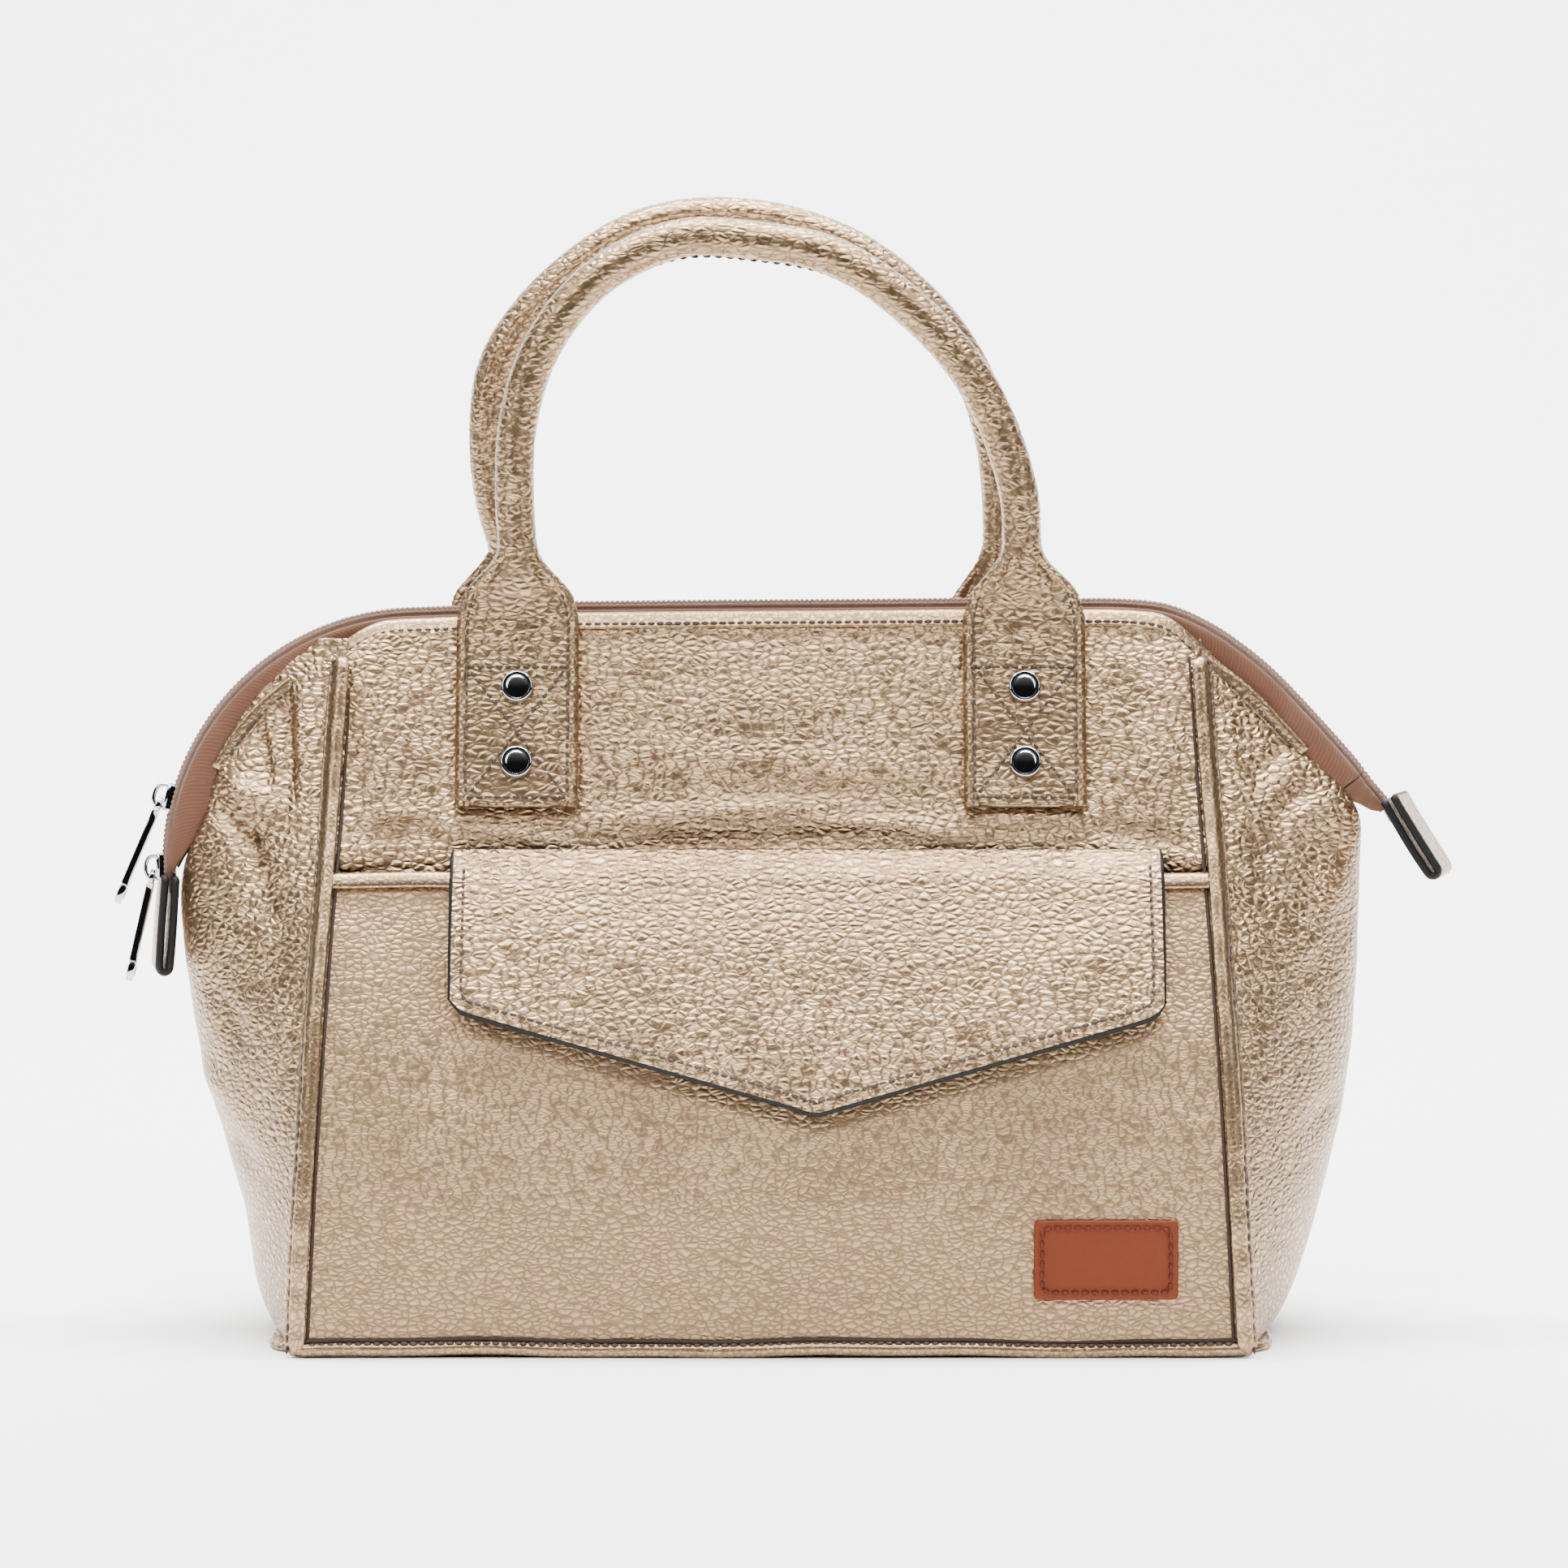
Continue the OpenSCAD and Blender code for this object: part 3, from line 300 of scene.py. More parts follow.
def add_piece(name, item, materials, replaced=()):
    """Puts a solid in millimetres into a mesh object in metres, and hides the parts it replaces."""
    points, faces, uv, skins = item
    mesh = bpy.data.meshes.new(name)
    triangle = faces[:, 2] == faces[:, 3]
    loops = np.where(triangle, 3, 4)
    starts = np.concatenate([[0], np.cumsum(loops)[:-1]])
    index = faces[np.arange(4)[None] < loops[:, None]]
    mesh.vertices.add(len(points))
    mesh.vertices.foreach_set("co", (points * MM).astype(np.float32).ravel())
    mesh.loops.add(len(index))
    mesh.loops.foreach_set("vertex_index", index.astype(np.int32))
    mesh.polygons.add(len(faces))
    mesh.polygons.foreach_set("loop_start", starts.astype(np.int32))
    mesh.polygons.foreach_set("material_index", skins.astype(np.int32))
    mesh.update(calc_edges=True)
    mesh.polygons.foreach_set("use_smooth", np.ones(len(faces), bool))
    layer = mesh.uv_layers.new(name="surface")
    layer.data.foreach_set("uv", (uv[index] * MM).astype(np.float32).ravel())
    if mesh.validate():
        raise RuntimeError(f"{name} has broken faces")
    for material in materials:
        mesh.materials.append(material)
    piece = bpy.data.objects.new(name, mesh)
    bpy.context.collection.objects.link(piece)
    if replaced:
        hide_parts(*replaced)
    return piece


def prefix(back):
    return "back" if back else "front"


def mouth_body(back):
    return prefix(back) + "_mouth"


def bend(piece):
    """Bakes a piece's placement into its mesh."""
    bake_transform(piece)


def fold(piece):
    """Bakes the placement of a piece that runs from the lower shell round the mouth's corner to a mouth half,
    through bend.
    """
    bend(piece)


# Lines and depths of the bag, in millimetres

def eased(z, table, span=5.0):
    """A table read at z and averaged over span either way, which rounds its corners."""
    xs, ys = zip(*table)
    near = np.asarray(z, float)[..., None] + np.linspace(-span, span, 11)
    return np.interp(near, xs, ys).mean(-1)


def step(x, a, b):
    """0 below a, 1 above b, and a smooth S between them."""
    t = np.clip((np.asarray(x, float) - a) / (b - a), 0, 1)
    return t * t * (3 - 2 * t)


# Depth of the outer leather from the middle, over the height
SHELL_DEPTH = ((0, 63), (42, 62.4), (63, 59.8), (90, 53.8), (115, 44.8), (135, 36.2), (148, 29.6),
               (160, 24.4), (180, 18.4), (207, 10.8))
# Depth of the front leather behind the pocket
INNER_DEPTH = ((0, 59.5), (12, 55), (30, 51), (60, 46), (90, 39), (115, 33), (138, 29.6), (147, 27.3),
               (153, 25.5), (160, 24), (180, 18.4), (207, 10.8))


def side_x(z):
    """Distance from the middle to a side seam: it leans in from 135 at the base to 124.5 under the trim."""
    return 135 - 10.5 * np.asarray(z, float) / PANEL_TOP


def shell_y(z):
    return eased(z, SHELL_DEPTH)


def mouth_y(z):
    """Depth of a mouth half's leaning plane."""
    return HALF_D - (np.asarray(z, float) - HINGE_Z) * (HALF_D - TOP_D) / (PANEL_TOP - HINGE_Z)


def folds(x, z, lines):
    """Sum of soft ridges, one along each line (x0, z0, x1, z1, width, height): a bell of the distance
    to the line times the height, fading at its ends."""
    total = np.zeros(np.broadcast(x, z).shape)
    for x0, z0, x1, z1, width, height in lines:
        d = np.array([x1 - x0, z1 - z0])
        run = ((x - x0) * d[0] + (z - z0) * d[1]) / (d @ d)
        near = np.clip(run, 0, 1)
        gap = np.hypot(x - x0 - near * d[0], z - z0 - near * d[1])
        total += height * np.exp(-(gap / width) ** 2) * (1 - 0.5 * np.abs(2 * near - 1) ** 2)
    return total


def spline(points, count):
    """A smooth line through points, in equal steps of the number of each point: a Catmull-Rom curve."""
    p = np.asarray(points, float)
    p = np.vstack([2 * p[0] - p[1], p, 2 * p[-1] - p[-2]])
    s = np.linspace(0, len(p) - 3, count)
    i = np.minimum(s.astype(int), len(p) - 4)
    u = (s - i)[:, None]
    a, b, c, d = (p[i + k] for k in range(4))
    return 0.5 * (2 * b + (c - a) * u + (2 * a - 5 * b + 4 * c - d) * u ** 2 + (3 * b - 3 * c + d - a) * u ** 3)


def even(path, pitch):
    """The same line in equal steps of about pitch."""
    run = run_along(path)
    count = max(2, int(round(run[-1] / pitch)) + 1)
    return stacked(*(np.interp(np.linspace(0, run[-1], count), run, column) for column in path.T))


def arc(start, end, radius=ZIP_R, pitch=1.0):
    """Points on the zip's round left shoulder, from one angle to another, in degrees."""
    a = np.radians(np.linspace(start, end, max(3, int(abs(end - start) * radius / 57 / pitch))))
    return stacked(ARC_X + radius * np.cos(a), ARC_Z + radius * np.sin(a))


# The zip's top and its straight right slope, as (x, z)
TOP_LINE = ((-58.8, 213), (-21, 213.4), (24.3, 213.7), (57.5, 214), (84.3, 213.9), (102.8, 213.8),
            (116.6, 212.1), (129.2, 206.6), (139.7, 199.5), (148.2, 192.3), (155.8, 184.5), (164.9, 174.6),
            (171.4, 167.2), (174, 163.8))
MOUTH_LINE = even(np.vstack([arc(158.5, 92)[:-1], spline(TOP_LINE, 400)]), 1.5)


def inward(line):
    """Normal of a flat line (x, z) toward the bag: its tangent turned a quarter to the right."""
    t = unit(np.gradient(line, axis=0))
    return stacked(t[:, 1], -t[:, 0])


def facing_h(line):
    """Height of the facing that shows: narrow along the top, wide on both slopes."""
    return 3 + 5.5 * step(np.abs(line[:, 0]), 112, 138)


def beside(line, offset, depth):
    """Points beside a line (x, z): inward by offset and out of the middle plane by depth."""
    flat = line + inward(line) * np.asarray(offset)[..., None]
    return stacked(flat[..., 0], -np.broadcast_to(depth, flat.shape[:-1]), flat[..., 1])


def strip(line, section):
    """A bar along a line: each corner of its section is a pair of an inward offset and a depth, and
    either may change along the line."""
    return loft(np.stack([beside(line, np.broadcast_to(o, len(line)), y) for o, y in section], 1),
                stacked(np.linspace(0, 12, len(section)), np.arange(len(line))[:, None] * 1.5))


def band(line, low, high, inner, outer):
    """A plain bar along a line, between two offsets and two depths."""
    return strip(line, [(low, inner), (high, inner), (high, outer), (low, outer)])


def pillow(low, high, inner, outer, count, power=3.0):
    """Section of a soft strip: a rounded box between two offsets and two depths."""
    return [((low + high) / 2 + (high - low) / 2 * p, (inner + outer) / 2 + (outer - inner) / 2 * q)
            for p, q in rounded_box(1, 1, count, 2 / power, 2 / power)]


def stitches(path, out, sizes, pitch=None, radius=None):
    """A row of sewn stitches: at each step of the pitch a short bar of thread, high in its middle and sunk
    at its ends by half a circle, along the path and square to the out vectors."""
    rings, sides, sink = 7, 6, 0.35
    pitch = mm(sizes.stitch_pitch) if pitch is None else pitch
    r = mm(sizes.stitch_radius) if radius is None else radius
    path = np.asarray(path, float)
    out = np.broadcast_to(np.asarray(out, float), path.shape)
    dense = even(np.hstack([path, out]), pitch)
    at = (dense[1:] + dense[:-1]) / 2
    t = unit(dense[1:, :3] - dense[:-1, :3])
    n = unit(at[:, 3:] - (at[:, 3:] * t).sum(1, keepdims=True) * t)
    b = np.cross(n, t)
    s = np.linspace(-1, 1, rings)
    a = around(sides)
    wide = np.sqrt(np.clip(1 - np.abs(s) ** 3, 0.08, 1)) * r
    lift = (np.sqrt(1 - s ** 2 * 0.9) - 1 + sink) * 2.2 * r
    along = 0.43 * pitch * s[None, :, None, None] * t[:, None, None]
    ring = (wide[:, None] * np.cos(a))[None, :, :, None] * b[:, None, None] * 1.15
    up = (wide[:, None] * np.sin(a) + lift[:, None])[None, :, :, None] * n[:, None, None]
    points = (at[:, None, None, :3] + along + ring + up).reshape(-1, 3)
    last = (rings - 1) * sides
    caps = [[0, k + 1, k + 2, k + 2] for k in range(1, sides - 2)]
    caps += [[last, last + k + 2, last + k + 1, last + k + 1] for k in range(1, sides - 2)]
    face = np.concatenate([quads(rings, sides, True), caps])
    return solid(points, (face[None] + rings * sides * np.arange(len(at))[:, None, None]).reshape(-1, 4))


# Leather surfaces, each a function that gives points of the outer face

# Ends of the side leather at the mouth's corner, as (height, distance from the middle, depth)
CORNER = {
    -1: ((0, 142, 0), (3, 145.5, 0), (8, 149, 0), (16, 151.6, 0), (36, 154.4, 0), (56, 160.6, 0),
         (75, 166.2, 0), (94, 169.9, 0), (112, 172.2, 0), (123, 173.2, 0), (129, 173.2, 0.6),
         (136, 172.2, 2.4), (142, 170, 4), (148, 167, 5.6), (153, 164.6, 6.8), (160, 163.2, 7.6),
         (168, 161.6, 7), (178, 156, 6.6), (188, 148.4, 6.6), (196, 140, 6.6), (201, 132, 7)),
    1: ((0, 143, 0), (3, 147, 0), (8, 151, 0), (16, 154.6, 0), (27, 158.3, 0), (46, 163.4, 0),
        (65, 167.9, 0), (84, 170.6, 0), (110, 172.2, 0), (139, 172.9, 0), (148, 173, 3),
        (153, 171.5, 5.8), (158, 168, 7), (164, 162, 7), (172, 153.6, 6.6), (181, 144.8, 6.6),
        (190, 135.2, 6.6), (197, 128, 7)),
}
# Creases of the side leather, as lines in distance from the middle and height
CREASES = {
    -1: ((164, 154, 152, 144, 2.2, -3.4), (152, 144, 142, 120, 5, -2.0), (158, 162, 148, 156, 3, 2.0),
         (143, 188, 139, 158, 3, -2.0), (151, 178, 147, 162, 2.6, -1.8), (136, 185, 135, 150, 3, 1.6),
         (168, 118, 160, 96, 5, 1.2), (165, 106, 152, 88, 4, -1.1), (160, 60, 148, 52, 4, -1.0),
         (168, 78, 158, 70, 4, 0.9), (140, 100, 138, 60, 5, 0.8)),
    1: ((160, 160, 146, 150, 3.4, -1.8), (146, 150, 139, 128, 5, -1.1), (150, 172, 140, 160, 3, -1.0),
        (167, 138, 158, 120, 5, 0.9), (160, 110, 148, 96, 5, -0.8), (133, 180, 134, 140, 3, 0.9),
        (165, 70, 154, 60, 4, -0.8), (142, 100, 140, 60, 5, 0.7)),
}


def gusset(side, z, u):
    """Side leather: at each height a quarter wave in plan from the side seam, where u is 0, to the middle
    or the mouth's corner, where u is 1. Higher up it is flatter. Creases press it in or out."""
    heights, reach, deep = zip(*CORNER[side])
    end_x = eased(z, tuple(zip(heights, reach)), 3)
    end_y = eased(z, tuple(zip(heights, deep)), 2.5)
    seam_x, seam_y = side_x(z) + 1.2 - 2.2 * step(z, 190, 197), shell_y(z) - 1.6
    tight = 0.75 * step(z, 150, 178)
    wave = (1 - tight) * np.sin(u * math.pi / 2) + tight * u
    x = seam_x + (end_x - seam_x) * wave
    y = seam_y + (end_y - seam_y) * u
    push = 1.8 * folds(x, z, CREASES[side]) * np.sin(math.pi * np.clip(u, 0, 1)) ** 0.7
    push = push + 0.35 * np.sin(z * 0.33 + 4 * u) * np.sin(math.pi * u) * step(z, 60, 120)
    lean = np.arctan2(wave, 1.2 - wave)
    return stacked(side * (x + push * np.sin(lean)), -(y + push * np.cos(lean) * 0.8), z)


def trim_low(x):
    """Height of the trim's lower edge over x."""
    line = MOUTH_LINE + inward(MOUTH_LINE) * (facing_h(MOUTH_LINE) + 5)[:, None]
    keep = np.abs(line[:, 0]) < 136
    return np.interp(x, line[keep, 0], line[keep, 1])


# Creases of the front above the pocket, as (x0, z0, x1, z1, width, height)
FRONT_FOLDS = ((-52, 150, 20, 156, 3.2, 0.9), (-40, 143.5, 40, 146, 2.6, -0.9), (10, 151, 60, 147, 3, 0.9),
               (-112, 152, -60, 146, 3.4, 0.8), (-118, 147, -92, 150, 2.8, -0.8),
               (92, 149, 118, 144, 3.2, -0.9),
               (-60, 172, 40, 165, 5, 0.5), (-118, 196, -112, 150, 4, 0.8), (116, 196, 114, 150, 4, 0.6),
               (60, 153, 92, 150, 2.6, 0.8), (-30, 180, 30, 186, 7, 0.5), (-10, 158.5, 50, 160, 2.2, -0.5))


def behind_tabs(x):
    """1 behind the handle tabs and 0 beside them."""
    return np.exp(-((np.abs(x) - HANDLE_X) / 21) ** 6)


def front_leather(x, z):
    """Front above and behind the pocket: the depth table, drawn out to the seam's depth near the side
    seams, with a little fill between the tabs and soft creases."""
    deep = eased(z, INNER_DEPTH, 4)
    rim = step(np.abs(x), side_x(z) - 20, side_x(z) - 2) * step(z, 128, 142)
    deep = deep + (shell_y(z) - deep) * rim
    between = np.exp(-(x / 44) ** 4) + 0.7 * np.exp(-((np.abs(x) - 110) / 13) ** 2)
    deep = deep + 1.1 * between * step(z, 150, 168) * step(-z, -206, -194)
    deep = deep + 2.4 * folds(x, z, FRONT_FOLDS) * (1 - behind_tabs(x) * step(z, 150, 156)) * step(z, 139, 144)
    return stacked(x, -deep, z)


POCKET_FOLDS = ((-118, 116, -92, 84, 9, 1.1), (-104, 110, -84, 70, 8, -1.0), (-112, 62, -96, 40, 7, 0.6),
                (-60, 60, 60, 54, 16, 0.7), (100, 104, 122, 84, 7, 0.8), (88, 60, 118, 52, 9, -0.5),
                (-30, 24, 50, 26, 14, -0.6), (-118, 128, -96, 124, 3, 0.4))


def pocket_leather(x, z):
    """Pocket front: the shell's depth with soft hollows, and its lower edge slightly wavy."""
    deep = shell_y(z) + folds(x, z, POCKET_FOLDS) + 0.5 * np.sin(x / 37) * step(-z, -60, -5)
    return stacked(x, -deep, z)


def back_leather(x, z):
    """Back: the shell's depth with a few soft creases, right to left as seen from behind."""
    deep = shell_y(z) + folds(-x, z, FRONT_FOLDS) * step(-z, -150, -140) * 0.6
    deep = deep + 0.8 * np.sin(x / 40 + 1) * step(z, 10, 60) * step(-z, -140, -90)
    tuck = behind_tabs(x + BACK_SHIFT) * step(z, 144, 156)
    deep = deep + (np.minimum(mouth_y(z), deep) - deep) * tuck
    return stacked(x, deep, z)


def panel_grid(edge, cols, rows, low=3.0, inset=0.6):
    """x and z over a panel between the side seams, from a height up to an edge (x, z). Three rounds fit
    the width to the height and the height to the edge."""
    u, v = np.meshgrid(np.linspace(-1, 1, cols), np.linspace(0, 1, rows))
    x = u * (side_x(low) - inset)
    for _ in range(3):
        z = low + (np.interp(x, *edge) - low) * v
        x = u * (side_x(z) - inset)
    return x, z


# Pieces, each worked out as a solid in millimetres

HANDLES = {
    False: (90.5, 0.0, ((-1, 0), (-1.012, 0.193), (-0.999, 0.401), (-0.927, 0.609), (-0.785, 0.79),
                        (-0.595, 0.919), (-0.344, 0.998), (-0.063, 0.99), (0.22, 0.946), (0.471, 0.829),
                        (0.724, 0.634), (0.881, 0.428), (0.976, 0.193), (0.992, 0))),
    True: (98.0, BACK_SHIFT, ((-1, 0), (-1.064, 0.18), (-1.08, 0.373), (-1.047, 0.544), (-0.935, 0.69),
                              (-0.744, 0.836), (-0.489, 0.957), (-0.2, 1), (0.12, 0.975), (0.414, 0.888),
                              (0.668, 0.735), (0.841, 0.561), (0.935, 0.375), (0.975, 0.184), (0.98, 0))),
}
HANDLE_STEP = 0.9
TAB_LOW = 154.2
NECK = 228.1
TUBE_R = 5.7
# Half width of a tab and the bell above it, the same of the raised core, and the core's height
TAB_HALF = ((TAB_LOW, 17.8), (209, 17.8), (212, 17.1), (216, 15.9), (221, 14), (226.7, 10.6), (230.5, 7.2),
            (234, 5.9), (240, 5.7))
CORE_HALF = ((190, 14.6), (205, 14.1), (212, 12.8), (220, 9.8), (228, 6.6), (234, 5.7))
CORE_RISE = ((188, 0), (196, 0.7), (202, 1.7), (210, 3.2), (218, 4.6), (226, 5.5), (232, 5.7))


def tab_y(z):
    """Depth of the middle of a tab: it lies on the mouth half, and stands up at the neck."""
    return eased(z, ((150, 28.2), (207, 12.8), (213, 12.4), (228, 13.4), (300, 13.5)), 3)


def handle_path(back):
    """Line of one handle from the lower edge of a tab, round the arch, to the other tab."""
    rise, shift, shares = HANDLES[back]
    arch = spline([(x * HANDLE_X - shift, NECK + z * rise) for x, z in shares], 400)
    height = np.linspace(TAB_LOW, NECK - 1, 60)
    neck = step(height, 209, NECK)
    low = (side * HANDLE_X - shift for side in (-1, 1))
    left, right = (stacked(x + neck * (end - x), height) for x, end in zip(low, arch[[0, -1], 0]))
    flat = even(np.vstack([left, arch, right[::-1]]), HANDLE_STEP)
    return stacked(flat[:, 0], -tab_y(flat[:, 1]), flat[:, 1])


def handle_skin(path, wrinkle=0.28, count=72):
    """Rolled leather: round the arch a tube, and down each tab a raised core between flat stitched wings.
    Each ring blends a circle of the core's height with the tab's flat section by the tables of TAB_HALF,
    CORE_HALF and CORE_RISE, and fine wrinkles run across it. Gives the solid, and the out and across
    vectors of each ring."""
    z, run = path[:, 2], np.arange(len(path)) * HANDLE_STEP
    t, _, s = frames(path)
    half, core, rise = (np.interp(z, *zip(*k)) for k in (TAB_HALF, CORE_HALF, CORE_RISE))
    kernel = np.hanning(9) / np.hanning(9).sum()
    half, core, rise = (np.convolve(np.pad(v, 4, "edge"), kernel, "valid") for v in (half, core, rise))
    core = np.minimum(core, half)
    a = around(count)[None]
    wide = half[:, None] * powered(np.cos(a), (1 - 0.35 * step(-z, -228, -205))[:, None])
    share = np.clip(np.abs(wide) / core[:, None], 0, 1)
    front = np.sin(a) > 0
    rim = half[:, None] - np.abs(wide)
    wing = 2.15 * np.clip(rim / 1.6, 0, 1) ** 0.5 - 0.95 * step(rim, 2.4, 3.9)
    dome = rise[:, None] * np.sqrt(1 - share ** 2) ** (1 + 0.5 * step(-z, -226, -206))[:, None]
    face = np.maximum(dome, wing) + 0.35 * np.exp(-((dome - wing) / 0.5) ** 2) * (rise[:, None] > 0.3)
    groove = 0.5 * np.exp(-((np.abs(wide) - half[:, None] + 3.2) / 0.7) ** 2) * step(-z, -224, -214)[:, None]
    body = step(z, 206, 224)[:, None]
    back = wing + (dome - wing) * body
    height = np.where(front, face - groove, -np.maximum(back, 0.02))
    high = step(z, 214, 232)[:, None]
    height = height * (1 - high) + TUBE_R * np.sin(a) * high
    wide = wide * (1 - high) + TUBE_R * np.cos(a) * high
    pinch = wrinkle * (np.sin(run[:, None] * 1.55 + 1.7 * np.sin(a * 2 + run[:, None] * 0.11)) ** 8)
    pinch = pinch * (np.cos(a) ** 2 * 0.7 + 0.3) * step(z, 204, 214)[:, None]
    scale = 1 - pinch / TUBE_R
    seam = 1 - 0.16 * np.exp(-((a - 1.5 * math.pi) / 0.17) ** 2) * high
    out = -s if s[len(s) // 2, 1] > 0 else s
    across = np.cross(t, out)
    rings = ringed(path, across, out, wide * scale, height * scale * seam)
    return loft(rings, stacked(a * TUBE_R, run[:, None])), out, across


def handle_threads(path, out, across, sizes):
    """Stitches of one handle: each tab's two edges, the two rows and the cross of its box, and the seam
    under the arch."""
    rows, middle = [], len(path) // 2
    low, high, margin, up = TAB_LOW + 3, 194.4, 3.2, (0, -1, 0.2)
    for piece in (slice(0, middle), slice(middle, None)):
        p, o, c = path[piece], out[piece], across[piece]
        centre = p[:, 0][np.argmin(np.abs(p[:, 2] - 180))]
        keep = (p[:, 2] >= low) & (p[:, 2] <= 221)
        half = np.interp(p[keep, 2], *zip(*TAB_HALF)) - margin
        rows += [stitches(p[keep] + c[keep] * (side * half)[:, None] + o[keep] * 1.15, up, sizes)
                 for side in (-1, 1)]
        rows += [stitches([(centre + x, -tab_y(z) - 1.25, z) for x in (-14.6, 14.6)], up, sizes)
                 for z in (low, high)]
        rows += [stitches([(centre + side * x, -tab_y(z) - 1.2, z) for x, z in ((-13.6, 158.2), (13.6, 193.4))],
                          up, sizes) for side in (-1, 1)]
    keep = path[:, 2] > 236
    t = unit(np.gradient(path, axis=0))[keep]
    down = -np.cross(t, np.cross((0, 0, 1.0), t))
    return joined(rows + [stitches(path[keep] + down * 5.55, down, sizes, 3.4)])


def rivet(x, z, sizes):
    """Cap of a rivet on a tab: a low dome with a rounded rim, on the mouth half's lean."""
    r = mm(sizes.rivet_d) / 2
    profile = np.array([(r - 0.3, 0), (r, 0.3), (r, 0.75), (r - 0.2, 1.2), (r - 0.6, 1.42), (r - 0.95, 1.3),
                        (r - 1.15, 1.28), (r * 0.62, 1.52), (r * 0.4, 1.64), (r * 0.2, 1.7), (0.05, 1.72)])
    a = around(48)
    ring = stacked(profile[:, :1] * np.cos(a), -profile[:, 1:], profile[:, :1] * np.sin(a))
    c, s = math.cos(LEAN), math.sin(LEAN)
    return loft(ring @ np.array([(1, 0, 0), (0, c, -s), (0, s, c)]) + (x, -tab_y(z) - 1.5, z))


FLAP = [(-91, 141.5), (-91, 104.5), (-90.6, 101), (-88.8, 98.6), (-85.4, 97.3), (6, 71.7), (9, 70.6),
        (11.2, 70), (13.6, 69.8), (16.2, 70.4), (19, 71.3), (104.4, 95.2), (107.6, 96.2), (110.2, 97.7),
        (111.6, 99.8), (111.9, 102.6), (111.8, 141.5)]
FLAP_LEFT = -91
FLAP_WIDTH = 202.8
FLAP_TOP = 142.3
# Heights where the flap leaves the pocket's slope and where it rolls over, the roll's height, and the
# depth of its strip
FLAP_BEND = 134
ROLL_FROM = 137
ROLL_HIGH = 5.4
STRIP_Y = 31.2


def flap_y(z):
    """Depth of the flap's outer face: the pocket's slope under it, rolled over to its strip at the top."""
    lie = shell_y(np.minimum(z, FLAP_BEND)) + 3.3
    lie = lie - (z > FLAP_BEND) * 0.78 * (z - FLAP_BEND) + 2.4 * step(-z, -138, -112)
    roll = np.sqrt(np.clip(1 - ((z - ROLL_FROM) / ROLL_HIGH) ** 2, 0, 1))
    return np.where(z > ROLL_FROM, STRIP_Y + (lie - STRIP_Y) * roll, lie)


def flap_face(cols=110, rows=60):
    """Flap's face: columns at even steps over its width and rows from its strip to its lower edge, with
    fine creases where it bends and two soft hollows."""
    share = np.linspace(0, 1, cols)
    x = FLAP_LEFT + FLAP_WIDTH * (share - 0.035 * np.sin(2 * math.pi * share))
    low = np.interp(x, *zip(*FLAP[2:-2]))
    v = np.linspace(0, 1, rows) ** 1.15
    z = low + (FLAP_TOP - low) * v[::-1, None]
    x = np.broadcast_to(x, z.shape)
    bent = folds(x, z, ((-91, 128, -40, 118, 9, 0.7), (20, 118, 90, 126, 10, -0.6), (-60, 98, 0, 86, 8, 0.5),
                        (40, 92, 96, 108, 9, 0.4), (-88, 138, 108, 137, 2.2, 0.35),
                        (-30, 131, 60, 133, 2.4, -0.3)))
    return stacked(x, -(flap_y(z) + bent * step(-z, -139, -132)), z)


def trim_lean(line):
    """How far the trim's lower part leans out: only along the top, not on the slopes."""
    return 3.3 * (1 - step(np.abs(line[:, 0]), 121, 148))


def swept_trim(line, low):
    """Stitched trim beside the zip: a soft strip that leans out over the leather's top edge on the front,
    and lies flatter on the slopes."""
    k = np.arange(len(line))
    wave = 0.35 * np.sin(k * 0.19) * np.sin(k * 0.047)
    return strip(line, [(low + o, 6.9 + y + trim_lean(line) * np.clip(o / 5, 0, 1) + wave * (y > 1)
                         - 0.6 * (y > 1.2) * math.exp(-((o - 3.4) / 0.6) ** 2))
                        for o, y in pillow(0.0, 4.8, 0.0, 2.3, 18)])


def coil(line, y0, y1, top, deep, sizes):
    """One coil of the zip: an oval bar whose height swells once a turn, like |sin| of the run."""
    pitch = mm(sizes.coil_pitch)
    line = even(line, pitch / 6)
    run = np.arange(len(line)) * pitch / 6
    swell = np.abs(np.sin(math.pi * run / pitch)) ** 0.7
    return strip(line, [(top + deep / 2 + p * deep / 2 * (0.6 + 0.4 * swell),
                         (y0 + y1) / 2 + q * (y1 - y0) / 2 * (0.75 + 0.25 * swell))
                        for p, q in rounded_box(1, 1, 10, 1, 1)])


def chain(line, sizes):
    """A coil of the zip on each face of its tape, for one half."""
    return joined([coil(line, 0.6, 2.8, -0.2, 2.2, sizes), coil(line, 4.7, 5.7, 0.7, 1.8, sizes)])


